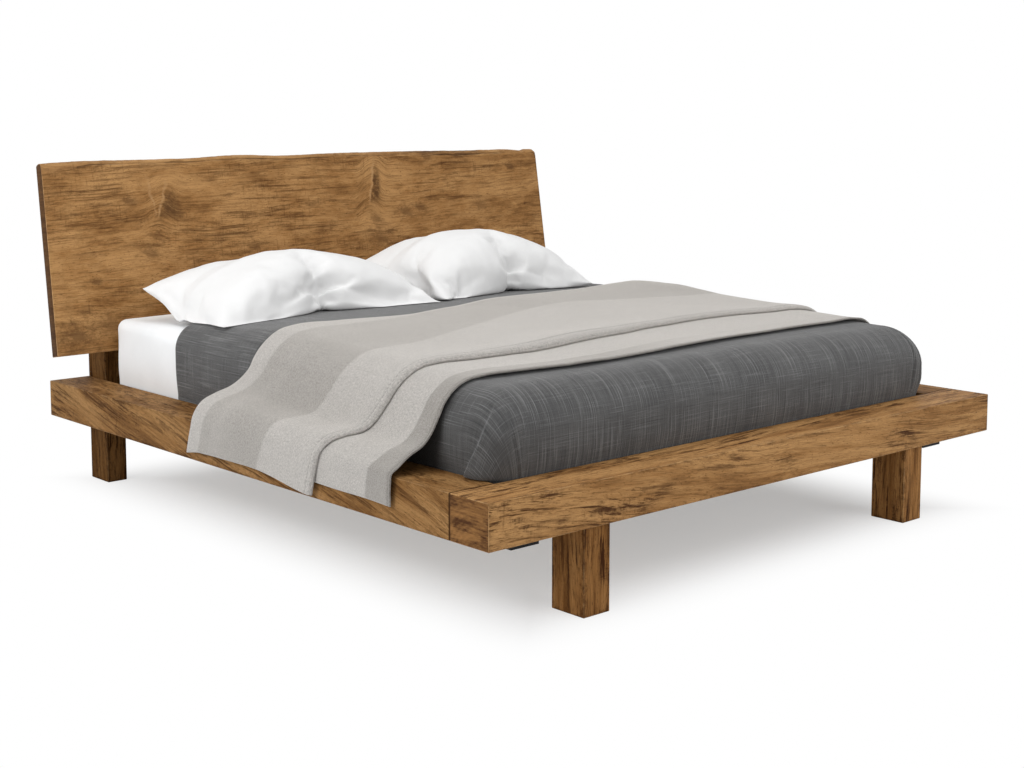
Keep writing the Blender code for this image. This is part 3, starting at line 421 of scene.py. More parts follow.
slab_half = 1.178
slab_depth = 0.042
slab_below = 0.016
slab_top = 0.670
slab_lean = math.radians(9.4)
slab_ease = 0.0016
slab_steps = 420
slab_seat_y = 1.07075
slab_seat_z = 0.4935
slab_gap = 0.0003
live_edge_stops = (
    (0.0, -0.006),
    (0.03, -0.003),
    (0.07, 0.0),
    (0.24, 0.0),
    (0.35, 0.009),
    (0.43, 0.003),
    (0.57, 0.0080),
    (0.71, 0.0080),
    (0.83, 0.0055),
    (0.93, 0.0065),
    (0.966, 0.0),
    (0.979, 0.0055),
    (0.993, 0.0045),
    (1.0, -0.004),
)


def even(start, end, count):
    """Places at even steps, both ends included."""
    return [start + (end - start) * step / count for step in range(count + 1)]


def eased(share):
    """Runs from 0 to 1 with a soft start and end."""
    return (1 - math.cos(math.pi * share)) / 2


def tube_faces(count, around):
    """Faces of a closed tube of so many points, which lie in rings of so many around."""
    faces = [list(range(around)), list(range(count - 1, count - around - 1, -1))]
    for start in range(0, count - around, around):
        for step in range(around):
            after = (step + 1) % around
            faces.append([start + after, start + step, start + around + step, start + around + after])
    return faces


def mark(piece, label, values):
    """Gives each point of a piece a value that its finish can read."""
    layer = piece.data.attributes.new(label, "FLOAT", "POINT")
    layer.data.foreach_set("value", [float(part) for part in values])


def live_edge_at(share):
    """Rise of the live edge above the nominal top, eased between its stops."""
    for (start, low), (end, high) in zip(live_edge_stops, live_edge_stops[1:]):
        if share <= end:
            return low + (high - low) * eased((share - start) / (end - start))
    return live_edge_stops[-1][1]


def new_piece(name, points, faces, material, body, node, slot, smooth=True):
    """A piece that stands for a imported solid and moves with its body."""
    mesh = bpy.data.meshes.new(name)
    mesh.from_pydata([tuple(point) for point in points], [], faces)
    mesh.materials.append(material)
    if smooth:
        mesh.shade_smooth()
    piece = bpy.data.objects.new(name, mesh)
    bpy.context.scene.collection.objects.link(piece)
    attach(piece, body)
    if node:
        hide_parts(node)
    return piece


def slab_ring(x, inset):
    """Section of the slab at one place, with each point's share of the wane and of the crease below it."""
    share = (x + slab_half) / (2 * slab_half)
    ripple = 0.0011 * noise.noise(Vector((x * 19, 0.0, 3.1)))
    ripple += 0.0006 * noise.noise(Vector((x * 55, 0.0, 1.7)))
    top = slab_top + live_edge_at(share) + ripple - 0.0012
    lip = 0.004 + 0.0035 * noise.noise(Vector((x * 4.2, 2.0, 0.0)))
    lip += 0.002 * noise.noise(Vector((x * 13, 5.0, 0.0)))
    lip += 0.024 * max(0.0, 1 - share / 0.085) ** 1.3
    lip += 0.0045 * math.exp(-(((share - 0.80) / 0.075) ** 2))
    depth = 0.0006 + 0.0016 * max(0.0, noise.noise(Vector((x * 3.1, 8.0, 0.0))) + 0.35)
    depth += 0.0016 * math.exp(-(((share - 0.80) / 0.075) ** 2))
    low = -slab_below + inset
    front = -slab_depth + inset
    back = -inset
    return (
        (back - 0.0015, low, 0, 0),
        (back, low + 0.0015, 0, 0),
        (back, top - 0.010, 0, 0),
        (back - 0.002, top - 0.0055 - inset, 1, 0),
        (-0.009, top - 0.0022 - inset, 1, 0),
        (-0.021, top - inset, 1, 0),
        (-0.029, top - 0.0012 - inset, 1, 0),
        (-0.035, top - 0.0034 - inset, 1, 0),
        (-0.0388, top - 0.0065 - lip * 0.4 - inset, 1, 0),
        (front + 0.0012, top - 0.0095 - lip, 0.7, 0),
        (front + 0.0008 + depth, top - 0.0125 - lip, 0.3, 1.0 if share > 0.06 else 0.0),
        (front + 0.0004, top - 0.0160 - lip, 0, 0.25),
        (front, top - 0.0200 - lip, 0, 0),
        (front, low + 0.0015, 0, 0),
        (front + 0.0015, low, 0, 0),
    )


slab_stations = [(-slab_half, slab_ease)]
slab_stations += [(x, 0.0) for x in even(-slab_half + slab_ease, slab_half - slab_ease, slab_steps)]
slab_stations += [(slab_half, slab_ease)]
slab_points = []
slab_wane = []
slab_crease = []
for x, inset in slab_stations:
    ring = slab_ring(x, inset)
    skew = 0.013 * max(0.0, -x / slab_half) ** 3
    slab_points += [(x + skew * (z + slab_below) / slab_top, y, z) for y, z, wane, crease in ring]
    slab_wane += [wane for y, z, wane, crease in ring]
    slab_crease += [crease for y, z, wane, crease in ring]
slab_faces = tube_faces(len(slab_points), len(ring))


def feather_figure_group():
    """Crotch figure: a pale seam with a dark wedge beside it.

    The vector lies in the face in x and z, from its foot.
    """
    tree, given, put = new_group(
        "feather_figure",
        (
            ("Vector", "NodeSocketVector"),
            ("Height", "NodeSocketFloat"),
            ("Slant", "NodeSocketFloat"),
            ("Width", "NodeSocketFloat"),
        ),
        (("Seam", "NodeSocketFloat"), ("Wedge", "NodeSocketFloat"), ("Lift", "NodeSocketFloat")),
    )
    apart = split(tree, given.outputs["Vector"])
    rise = reckon(tree, "DIVIDE", apart[2], given.outputs["Height"])
    shift = reckon(tree, "MULTIPLY", apart[2], given.outputs["Slant"])
    wobble = mottle(tree, given.outputs["Vector"], (24.0, 24.0, 24.0), 4.0)
    wobble = reckon(tree, "MULTIPLY_ADD", wobble, 0.040, -0.020)
    side = reckon(tree, "ADD", reckon(tree, "SUBTRACT", apart[0], shift), wobble)
    ends = reckon(tree, "MULTIPLY", between(tree, rise, -0.10, 0.20), between(tree, rise, 1.15, 0.70))
    broken = between(tree, mottle(tree, given.outputs["Vector"], (60.0, 60.0, 60.0), 4.0, 0.7), 0.30, 0.60)
    seam = reckon(tree, "MULTIPLY", between(tree, reckon(tree, "ABSOLUTE", side), 0.0085, 0.001), ends)
    tree.links.new(reckon(tree, "MULTIPLY", seam, broken), put.inputs["Seam"])
    width = reckon(tree, "MULTIPLY", reckon(tree, "MULTIPLY_ADD", rise, -0.85, 1.0), given.outputs["Width"])
    inner = reckon(tree, "MULTIPLY", width, 0.45)
    filled = reckon(tree, "MULTIPLY", between(tree, side, 0.0, 0.012), between(tree, side, width, inner))
    rough = between(tree, mottle(tree, given.outputs["Vector"], (42.0, 42.0, 60.0), 6.0, 0.72), 0.30, 0.58)
    rough = reckon(tree, "MULTIPLY_ADD", rough, 0.75, 0.25)
    wedge = reckon(tree, "MULTIPLY", filled, rough)
    wedge = reckon(tree, "MULTIPLY", wedge, between(tree, rise, -0.16, 0.16))
    tree.links.new(reckon(tree, "MULTIPLY", wedge, between(tree, rise, 1.0, 0.45)), put.inputs["Wedge"])
    near = between(tree, reckon(tree, "ABSOLUTE", side), 0.085, 0.0)
    level = between(tree, reckon(tree, "ABSOLUTE", reckon(tree, "SUBTRACT", rise, 0.45)), 1.25, 0.2)
    tree.links.new(reckon(tree, "MULTIPLY", near, level), put.inputs["Lift"])
    return tree


def knot_group():
    """Mask of a small dark knot that frays along the grain.

    The vector lies in the face in x and z, from its middle.
    """
    tree, given, put = new_group(
        "knot", (("Vector", "NodeSocketVector"), ("Size", "NodeSocketFloat")), (("Mask", "NodeSocketFloat"),)
    )
    flat = reckon_vector(tree, "MULTIPLY", given.outputs["Vector"], (0.62, 0.0, 1.0))
    far = place(tree, "ShaderNodeVectorMath", {0: flat}, operation="LENGTH").outputs["Value"]
    ragged = mottle(tree, given.outputs["Vector"], (32.0, 60.0, 48.0), 6.0, 0.78)
    share = reckon(tree, "DIVIDE", far, given.outputs["Size"])
    share = reckon(tree, "ADD", share, reckon(tree, "MULTIPLY_ADD", ragged, 4.4, -2.2))
    tree.links.new(between(tree, share, 1.35, 0.10), put.inputs["Mask"])
    return tree


slab_corners = ((-slab_half, -slab_depth, -slab_below), (slab_half, 0.0, slab_top))
headboard_stain = figured_wood(
    "headboard_stain", slab_corners, "X", (0.2, 0.6, 0.1), 1.2, 0.55, 0.55, edges=0.35, cloud=0.78
)
slab_tree = headboard_stain.node_tree
slab_shader = slab_tree.nodes["Principled BSDF"]
slab_spot = place(slab_tree, "ShaderNodeTexCoord").outputs["Object"]
slab_colour = slab_shader.inputs["Base Color"].links[0].from_socket
slab_figure = next(
    node for node in slab_tree.nodes if node.type == "GROUP" and node.node_tree == STAIN_FIGURE
)
slab_grain = slab_figure.inputs["Vector"].links[0].from_socket
FEATHER = feather_figure_group()
for foot, tall, slant, wide, wedged, seamed, lifted in (
    ((-0.738, 0.0, 0.455), 0.150, -0.16, 0.02, 0.0, 0.62, 0.0),
    ((-0.730, 0.0, 0.450), 0.135, 0.34, 0.145, 0.80, 0.62, 0.030),
    ((0.236, 0.0, 0.470), 0.190, 0.24, 0.082, 0.95, 0.72, 0.045),
):
    there = reckon_vector(slab_tree, "SUBTRACT", slab_spot, foot)
    sockets = {"Vector": there, "Height": tall, "Slant": slant, "Width": wide}
    figure = place(slab_tree, "ShaderNodeGroup", sockets, node_tree=FEATHER)
    dark_share = reckon(slab_tree, "MULTIPLY", figure.outputs["Wedge"], wedged)
    slab_colour = tint(slab_tree, dark_share, slab_colour, (0.088, 0.040, 0.014, 1.0))
    pale_share = reckon(slab_tree, "MULTIPLY", figure.outputs["Seam"], seamed)
    slab_colour = tint(slab_tree, pale_share, slab_colour, (0.47, 0.275, 0.125, 1.0))
    raised = reckon(slab_tree, "MULTIPLY", figure.outputs["Lift"], -lifted)
    bent = place(slab_tree, "ShaderNodeCombineXYZ", {"Z": raised})
    slab_grain = reckon_vector(slab_tree, "ADD", slab_grain, bent.outputs[0])
slab_tree.links.new(slab_grain, slab_figure.inputs["Vector"])
KNOT = knot_group()
for middle, wide, strength in (
    ((1.020, 0.0, 0.600), 0.020, 0.62),
    ((-1.000, 0.0, 0.236), 0.015, 0.60),
    ((-0.838, 0.0, 0.517), 0.019, 0.50),
    ((-0.772, 0.0, 0.324), 0.034, 0.50),
    ((-0.740, 0.0, 0.385), 0.022, 0.40),
    ((-0.332, 0.0, 0.325), 0.034, 0.42),
    ((0.262, 0.0, 0.400), 0.024, 0.45),
    ((0.420, 0.0, 0.425), 0.034, 0.52),
    ((0.500, 0.0, 0.440), 0.028, 0.50),
    ((0.280, 0.0, 0.320), 0.046, 0.50),
    ((0.830, 0.0, 0.435), 0.034, 0.40),
    ((0.560, 0.0, 0.650), 0.020, 0.50),
    ((-1.090, 0.0, 0.050), 0.055, 0.62),
    ((-0.960, 0.0, 0.075), 0.046, 0.45),
):
    there = reckon_vector(slab_tree, "SUBTRACT", slab_spot, middle)
    spot = place(slab_tree, "ShaderNodeGroup", {"Vector": there, "Size": wide}, node_tree=KNOT)
    dark_share = reckon(slab_tree, "MULTIPLY", spot.outputs["Mask"], strength)
    slab_colour = tint(slab_tree, dark_share, slab_colour, (0.074, 0.031, 0.011, 1.0))
wane_mark = place(slab_tree, "ShaderNodeAttribute", attribute_name="wane").outputs["Fac"]
crease_mark = place(slab_tree, "ShaderNodeAttribute", attribute_name="crease").outputs["Fac"]
wane_share = reckon(slab_tree, "MULTIPLY", wane_mark, 0.35)
slab_colour = tint(slab_tree, wane_share, slab_colour, (0.38, 0.205, 0.085, 1.0))
slab_along = split(slab_tree, slab_spot)[0]
bark_starts = between(slab_tree, slab_along, 0.36, 0.52)
bark_run = reckon(slab_tree, "MULTIPLY", bark_starts, between(slab_tree, slab_along, 0.92, 0.80))
bark_rough = between(slab_tree, mottle(slab_tree, slab_spot, (9.0, 40.0, 90.0), 5.0, 0.7), 0.36, 0.56)
bark_share = reckon(slab_tree, "MULTIPLY", reckon(slab_tree, "MULTIPLY", bark_run, bark_rough), wane_mark)
bark_share = reckon(slab_tree, "MULTIPLY", bark_share, 0.85)
slab_colour = tint(slab_tree, bark_share, slab_colour, (0.070, 0.030, 0.012, 1.0))
# The groove under the wane's lip is darkened: painted shade beneath the lip.
groove_shade_rough = between(slab_tree, mottle(slab_tree, slab_spot, (7.0, 7.0, 7.0), 3.0), 0.36, 0.58)
groove_shade_share = reckon(slab_tree, "MULTIPLY", reckon(slab_tree, "MULTIPLY", crease_mark, groove_shade_rough), 0.85)
slab_colour = tint(slab_tree, groove_shade_share, slab_colour, (0.050, 0.020, 0.007, 1.0))
slab_facing = place(slab_tree, "ShaderNodeNewGeometry").outputs["True Normal"]
slab_end = reckon(slab_tree, "ABSOLUTE", split(slab_tree, slab_facing)[0])
slab_end = reckon(slab_tree, "MULTIPLY", between(slab_tree, slab_end, 0.80, 0.95), 0.72)
slab_colour = tint(slab_tree, slab_end, slab_colour, (0.046, 0.019, 0.007, 1.0))
slab_tree.links.new(slab_colour, slab_shader.inputs["Base Color"])

headboard = new_piece(
    "headboard_slab", slab_points, slab_faces, headboard_stain, "frame", "headboard_panel", "stained_wood"
)
mark(headboard, "wane", slab_wane)
mark(headboard, "crease", slab_crease)
headboard.data.set_sharp_from_angle(angle=math.radians(40))
headboard.location = (0.0, slab_seat_y - slab_gap / math.cos(slab_lean), slab_seat_z)
headboard.rotation_euler = (-slab_lean, 0.0, 0.0)

# Brackets and centre hangers
# Folded steel plate under a black powder coat, with the faint orange peel of the coat and bare metal where
# the corners are knocked. The brackets are bolted up under the foot corners, and the hangers carry the
# centre beam.

powder_coat, coat_tree, coat_shader = new_finish("black_powder_coat")
coat_spot = place(coat_tree, "ShaderNodeTexCoord").outputs["Object"]
peel = mottle(coat_tree, coat_spot, (420.0, 420.0, 420.0), 2.0)
scuff = between(coat_tree, mottle(coat_tree, coat_spot, (24.0, 24.0, 24.0), 5.0, 0.7), 0.55, 0.75)
coat_colour = tint(coat_tree, scuff, (0.010, 0.010, 0.011, 1.0), (0.026, 0.026, 0.027, 1.0))
coat_arris = place(coat_tree, "ShaderNodeGroup", {"Vector": coat_spot}, node_tree=WORN_ARRIS)
coat_worn = reckon(coat_tree, "MULTIPLY", coat_arris.outputs["Mask"], 0.5)
coat_colour = tint(coat_tree, coat_worn, coat_colour, (0.11, 0.11, 0.11, 1.0))
coat_rough = reckon(coat_tree, "MULTIPLY_ADD", scuff, 0.2, 0.42)
feed(coat_tree, coat_shader, coat_colour, coat_rough, 0.25, 0.0004, peel)
coat_shader.inputs["Specular IOR Level"].default_value = 0.12
for node in ("left_corner_bracket", "right_corner_bracket", "front_centre_hanger", "rear_centre_hanger"):
    dress(node, powder_coat)

# Bolts
# Zinc plated steel, with a dull mottled sheen and fine turning marks. Hanger bolts hold the legs, lag and
# side bolts hold the brackets, and longer bolts hold the posts to the beams and to the headboard.

zinc_plate, zinc_tree, zinc_shader = new_finish("zinc_plate")
zinc_spot = place(zinc_tree, "ShaderNodeTexCoord").outputs["Object"]
spangle = mottle(zinc_tree, zinc_spot, (140.0, 140.0, 140.0), 4.0, 0.6)
bright = between(zinc_tree, spangle, 0.35, 0.65)
zinc_colour = tint(zinc_tree, bright, (0.44, 0.45, 0.46, 1.0), (0.60, 0.60, 0.59, 1.0))
zinc_rough = reckon(zinc_tree, "MULTIPLY_ADD", spangle, 0.35, 0.22)
turning = mottle(zinc_tree, zinc_spot, (300.0, 300.0, 1800.0), 2.0)
feed(zinc_tree, zinc_shader, zinc_colour, zinc_rough, 0.2, 0.0003, turning)
zinc_shader.inputs["Metallic"].default_value = 1.0
for node in cad_pieces:
    if node.endswith("_bolt"):
        dress(node, zinc_plate)

# Slat deck
# Thirteen planed softwood slats across two ledgers and a centre beam on two square legs. The wood is pale and
# unfinished, and each slat is cut from another part of the tree.

SOFTWOOD = ((0.66, 0.48, 0.29), (0.55, 0.375, 0.205), (0.30, 0.165, 0.070))
PLANED = {"edges": 0.15, "tones": SOFTWOOD}
for side, shift in (("left", 0.3), ("right", 2.7)):
    dress_wood(side + "_ledger", side + "_ledger_pine", "Y", (shift, 0.5, 1.2), 1.0, 0.35, 0.25, **PLANED)
dress_wood("centre_beam", "centre_beam_pine", "Y", (1.9, 0.2, 0.4), -1.0, 0.35, 0.25, **PLANED)
for end, shift in (("front", 0.6), ("rear", 3.4)):
    dress_wood(end + "_centre_leg", end + "_leg_pine", "Z", (shift, 0.9, 0.1), 2.0, 0.35, 0.25, **PLANED)
for number in range(1, 14):
    slope = 1.5 * math.sin(2.4 * number)
    tone = 1.0 + 0.06 * math.sin(5.1 * number)
    slat = f"slat_{number:02d}"
    offset = (0.73 * number, 0.31 * number, 0.0)
    dress_wood(slat, slat + "_pine", "X", offset, slope, 0.35, 0.25, shade=tone, **PLANED)

# Levelling feet
# Black moulded nylon with a fine spark-eroded grain. Each foot turns on a threaded stem in its centre leg,
# up or down, to bear on the floor.

nylon, nylon_tree, nylon_shader = new_finish("black_nylon")
nylon_spot = place(nylon_tree, "ShaderNodeTexCoord").outputs["Object"]
pebble = mottle(nylon_tree, nylon_spot, (900.0, 900.0, 900.0), 2.0)
grime = mottle(nylon_tree, nylon_spot, (60.0, 60.0, 60.0), 4.0, 0.65)
soiled = between(nylon_tree, grime, 0.45, 0.75)
nylon_colour = tint(nylon_tree, soiled, (0.016, 0.016, 0.017, 1.0), (0.050, 0.048, 0.045, 1.0))
nylon_rough = reckon(nylon_tree, "MULTIPLY_ADD", grime, 0.3, 0.32)
feed(nylon_tree, nylon_shader, nylon_colour, nylon_rough, 0.3, 0.0003, pebble)
for node in ("front_levelling_foot", "rear_levelling_foot"):
    dress(node, nylon)

# Mattress
# A sprung mattress in a woven ticking with narrow stripes, quilted in diamonds. It is soft and rounded at the
# foot and firmer at the head, is drawn in under its lower edge, and lies loose on the slats.

mattress_half = 0.965
mattress_foot = -1.03125
mattress_head = 1.00875
mattress_middle = (mattress_foot + mattress_head) / 2
mattress_half_length = (mattress_head - mattress_foot) / 2
mattress_bottom = 0.3463
mattress_height = 0.5983
foot_round = 0.102
head_round = 0.035


def limited(share):
    """Holds a share between 0 and 1."""
    return max(0.0, min(1.0, share))


def wave(tree, value, pace):
    """A sine wave along a value, by a pace in radians a metre."""
    return reckon(tree, "SINE", reckon(tree, "MULTIPLY", value, pace))


def edge_round(y):
    """Radius of the long edges, soft over the foot half and firmer towards the head."""
    share = (y - mattress_middle) / (mattress_head - head_round - mattress_middle)
    return foot_round + (head_round - foot_round) * eased(limited(share))


def mattress_top(x, y):
    """Height of the crowned top, which lies lower towards the foot."""
    along = (y - mattress_middle) / mattress_half_length
    crown = 0.014 * (1 - ((x / mattress_half) ** 2 + along**2) / 2)
    return mattress_height + crown - 0.016 * (1 - along) / 2


def cover(offset, across, places, turn_steps, corner_steps, levels, open_head=False, squareness=2.0):
    """A cover over the mattress: points, faces and rim, and each point's outward way, fall, place and turn.

    places are the rows along the bed, from the foot. offset gives the distance outside the mattress from
    the fall and the place along the bed. The fall is 0 on top, 1 below the rounded edge and 2 at the rim.
    The turn is the way a side faces, in degrees, and there is none on top.
    """
    points = []
    ways = []
    falls = []
    weave = []
    turns = []
    faces = []
    top = {}
    rows = len(places) - 1
    for j, y in enumerate(places):
        reach = mattress_half - edge_round(y)
        for i in range(across + 1):
            x = reach * (2 * i / across - 1)
            top[i, j] = len(points)
            points.append(Vector((x, y, mattress_top(x, y) + offset(0.0, y))))
            ways.append(Vector((0, 0, 1)))
            falls.append(0.0)
            weave.append((x, y))
            turns.append(None)
    for i in range(across):
        for j in range(rows):
            faces.append([top[i, j], top[i + 1, j], top[i + 1, j + 1], top[i, j + 1]])

    def corner(key, start):
        return [(key, math.radians(start + 90 * step / corner_steps)) for step in range(1, corner_steps)]

    columns = [((0, j), math.pi) for j in range(rows, -1, -1)]
    columns += corner((0, 0), 180)
    columns += [((i, 0), 1.5 * math.pi) for i in range(across + 1)]
    columns += corner((across, 0), 270)
    columns += [((across, j), 2 * math.pi) for j in range(rows + 1)]
    if not open_head:
        columns += corner((across, rows), 360)
        columns += [((i, rows), 2.5 * math.pi) for i in range(across, -1, -1)]
        columns += corner((0, rows), 450)
    strips = []
    for key, angle in columns:
        start = top[key]
        inner = points[start]
        facing = Vector((math.cos(angle), math.sin(angle), 0))
        side = abs(facing.x) > 0.999 or key[1] == 0
        radius = edge_round(inner.y) if side else head_round
        middle = inner.z - offset(0.0, inner.y) - radius
        strip = [start]
        arc = 0.0
        last = inner
        for step in range(1, turn_steps + len(levels) + 1):
            if step <= turn_steps:
                fall = step / turn_steps
                reach = radius + offset(fall, inner.y)
                outward = reach * math.sin(fall * math.pi / 2)
                height = middle + reach * math.cos(fall * math.pi / 2)
                way = Vector((0, 0, math.cos(fall * math.pi / 2))) + facing * math.sin(fall * math.pi / 2)
            else:
                level = levels[step - turn_steps - 1]
                fall = 1 + level
                outward = radius + offset(fall, inner.y)
                height = middle + (mattress_bottom - middle) * level
                way = facing.copy()
            power = 2.0 + (squareness - 2.0) * min(1.0, fall)
            spread = (abs(facing.x) ** power + abs(facing.y) ** power) ** (-1 / power)
            point = Vector(
                (inner.x + facing.x * outward * spread, inner.y + facing.y * outward * spread, height)
            )
            arc += (point - last).length
            last = point
            strip.append(len(points))
            points.append(point)
            ways.append(way)
            falls.append(fall)
            weave.append((inner.x + facing.x * arc, inner.y + facing.y * arc))
            turns.append(math.degrees(angle))
        strips.append(strip)
    pairs = list(zip(strips, strips[1:]))
    if not open_head:
        pairs.append((strips[-1], strips[0]))
    for first, second in pairs:
        for row in range(len(first) - 1):
            face = [first[row], first[row + 1], second[row + 1], second[row]]
            if face[0] == face[3]:
                face.pop()
            faces.append(face)
    rim = [strip[-1] for strip in strips]
    return SimpleNamespace(
        points=points, faces=faces, ways=ways, falls=falls, weave=weave, turns=turns, rim=rim
    )


bed_rows = even(mattress_foot + foot_round, mattress_head - head_round, 60)
block_levels = (0.25, 0.5, 0.75, 0.93)
block = cover(lambda fall, y: -0.0004, 48, bed_rows, 8, 10, block_levels)
ring = block.rim
for drop, inward in ((0.6, 0.0015), (0.9, 0.006), (1.0, 0.012)):
    lower = []
    for index in block.rim:
        rim = block.points[index]
        height = rim.z + (mattress_bottom + 0.0002 - rim.z) * drop
        pull = Vector((mattress_half - inward, mattress_half_length - inward))
        x = max(-pull.x, min(pull.x, rim.x))
        y = mattress_middle + max(-pull.y, min(pull.y, rim.y - mattress_middle))
        lower.append(len(block.points))
        block.points.append(Vector((x, y, height)))
    for step in range(len(ring)):
        after = (step + 1) % len(ring)
        block.faces.append([ring[step], lower[step], lower[after], ring[after]])
    ring = lower
block.faces.append(list(reversed(ring)))

ticking, tick_tree, tick_shader = new_finish("mattress_ticking")
tick_spot = place(tick_tree, "ShaderNodeTexCoord").outputs["Object"]
tick_part = split(tick_tree, tick_spot)
stripe = between(tick_tree, wave(tick_tree, tick_part[0], 2 * math.pi / 0.036), 0.80, 0.92)
rising = reckon(tick_tree, "ADD", tick_part[0], tick_part[1])
falling = reckon(tick_tree, "SUBTRACT", tick_part[0], tick_part[1])
twill = wave(tick_tree, rising, 3400.0)
tick_wear = mottle(tick_tree, tick_spot, (6.0, 6.0, 6.0), 4.0, 0.6)
tick_colour = tint(tick_tree, stripe, (0.74, 0.73, 0.70, 1.0), (0.42, 0.45, 0.50, 1.0))
tick_tone = reckon(tick_tree, "MULTIPLY_ADD", tick_wear, 0.12, 0.92)
tick_tone = reckon(tick_tree, "MULTIPLY_ADD", twill, 0.025, tick_tone)
tick_colour = tint(tick_tree, 1.0, tick_colour, grey(tick_tree, tick_tone), "MULTIPLY")
tick_rough = reckon(tick_tree, "MULTIPLY_ADD", tick_wear, 0.12, 0.80)
diamonds = [reckon(tick_tree, "ABSOLUTE", wave(tick_tree, way, 24.0)) for way in (rising, falling)]
quilt = reckon(tick_tree, "POWER", reckon(tick_tree, "MINIMUM", *diamonds), 0.5)
quilt = reckon(tick_tree, "MULTIPLY_ADD", twill, 0.03, quilt)
feed(tick_tree, tick_shader, tick_colour, tick_rough, 0.6, 0.008, quilt)
tick_shader.inputs["Specular IOR Level"].default_value = 0.2
mattress_piece = new_piece(
    "mattress_block", block.points, block.faces, ticking, "mattress_set", "mattress", "mattress_ticking"
)

# Fitted sheet
# Fine white cotton percale, pulled over the mattress and held by its own stretch. It shows at the head, where
# it is a little slack along the sides.

sheet_lift = 0.0021
sheet_thickness = 0.0014


def percale(name, white, dull):
    """Plain woven cotton with a faint crumple, in its own white."""
    material, tree, shader = new_finish(name)
    spot = place(tree, "ShaderNodeTexCoord").outputs["Object"]
    part = split(tree, spot)
    warp = wave(tree, part[0], 5200.0)
    weft = wave(tree, part[1], 5200.0)
    crumple = mottle(tree, spot, (16.0, 16.0, 16.0), 4.0, 0.62)
    creases = mottle(tree, spot, (5.0, 5.0, 5.0), 3.0, 0.55)
    colour = tint(tree, between(tree, creases, 0.35, 0.70), white, dull)
    rough = reckon(tree, "MULTIPLY_ADD", crumple, 0.16, 0.72)
    height = reckon(tree, "MULTIPLY_ADD", reckon(tree, "MULTIPLY", warp, weft), 0.012, crumple)
    feed(tree, shader, colour, rough, 0.22, 0.006, height)
    shader.inputs["Specular IOR Level"].default_value = 0.25
    shader.inputs["Sheen Weight"].default_value = 0.08
    return material


def skin(outer, inner, faces):
    """Points and faces of a closed skin between two surfaces of one layout."""
    count = len(outer)
    uses = {}
    for face in faces:
        for first, second in zip(face, face[1:] + face[:1]):
            key = (min(first, second), max(first, second))
            uses.setdefault(key, []).append((first, second))
    rim = [
        [pair[1], pair[0], pair[0] + count, pair[1] + count] for (pair, *more) in uses.values() if not more
    ]
    under = [[index + count for index in reversed(face)] for face in faces]
    return list(outer) + list(inner), faces + under + rim


sheet_rows = even(mattress_foot + foot_round, mattress_head - head_round, 110)
sheet_levels = even(0.08, 1.0, 11)
sheet = cover(lambda fall, y: sheet_lift, 90, sheet_rows, 10, 12, sheet_levels)
sheet_inner = [point - way * sheet_thickness for point, way in zip(sheet.points, sheet.ways)]
sheet_details = zip(sheet.points, sheet.ways, sheet.falls, sheet.weave)
for index, (point, way, fall, (s, t)) in enumerate(sheet_details):
    bare = limited((point.y - 0.60) / 0.05) * limited(fall * 2.5 - 0.2)
    above_beam = limited((point.z - 0.385) / 0.03)
    slack = 0.5 + noise.noise(Vector((s * 9, t * 7, 0.4)))
    slack += 0.5 * noise.noise(Vector((s * 4 + t * 17, t * 3, 2.2)))
    sheet.points[index] = point + way * 0.0026 * max(0.0, slack) * bare * above_beam
sheet_cotton = percale("sheet_cotton", (0.890, 0.905, 0.915, 1.0), (0.850, 0.865, 0.875, 1.0))
sheet_piece = new_piece(
    "stretched_sheet",
    *skin(sheet.points, sheet_inner, sheet.faces),
    sheet_cotton,
    "mattress_set",
    "fitted_sheet",
    "white_cotton",
)

# Duvet
# A thin quilt in a charcoal linen cover, laid over the lower three quarters of the bed and tucked down
# between the mattress and the beams. At the left foot corner the spare cloth is folded into a pleat that
# lies on the beam, and at the right one it gathers in small folds.

duvet_head = 0.57375
beam_top = 0.375
tuck_fall = 1 + (mattress_height - foot_round - beam_top) / (mattress_height - foot_round - mattress_bottom)
side_loft = 0.0175
tuck_loft = 0.0065
edge_loft = 0.0012


def curve(part, start, leave, end, arrive):
    """A smooth curve from start to end, which leaves and arrives at given rates."""
    cube, square = part**3, part**2
    return (
        start * (2 * cube - 3 * square + 1)
        + leave * (cube - 2 * square + part)
        + end * (3 * square - 2 * cube)
        + arrive * (cube - square)
    )


def eased_run(stops):
    """A function that runs smoothly through (place, value) stops."""

    def value_at(spot):
        if spot <= stops[0][0]:
            return stops[0][1]
        for number, ((start, low), (end, high)) in enumerate(zip(stops, stops[1:])):
            if spot <= end:
                before = stops[max(0, number - 1)]
                after = stops[min(len(stops) - 1, number + 2)]
                share = (spot - start) / (end - start)
                leave = (high - before[1]) / (end - before[0]) * (end - start)
                arrive = (after[1] - low) / (after[0] - start) * (end - start)
                return curve(share, low, leave, high, arrive)
        return stops[-1][1]

    return value_at


foot_face = -1.19575
duvet_lofts = ((0.26, 0.020), (0.53, 0.024), (0.90, 0.032), (1.30, 0.045), (1.50, 0.036), (1.78, 0.024))
duvet_loft = eased_run([(foot_face + spot, loft) for spot, loft in duvet_lofts])


def duvet_outside(fall, y):
    """Gap from the mattress to the duvet's face: full on top, thinner at the sides, tucked at the rim."""
    loft = duvet_loft(y)
    if fall <= 1.0:
        distance = loft + (side_loft - loft) * eased(fall)
    else:
        share = limited((fall - 1.25) / (tuck_fall - 1.25))
        distance = side_loft + (tuck_loft - side_loft) * share * share
    close = limited((duvet_head - y) / 0.020)
    return sheet_lift + edge_loft + (distance - edge_loft) * math.sqrt(1 - (1 - close) ** 2)


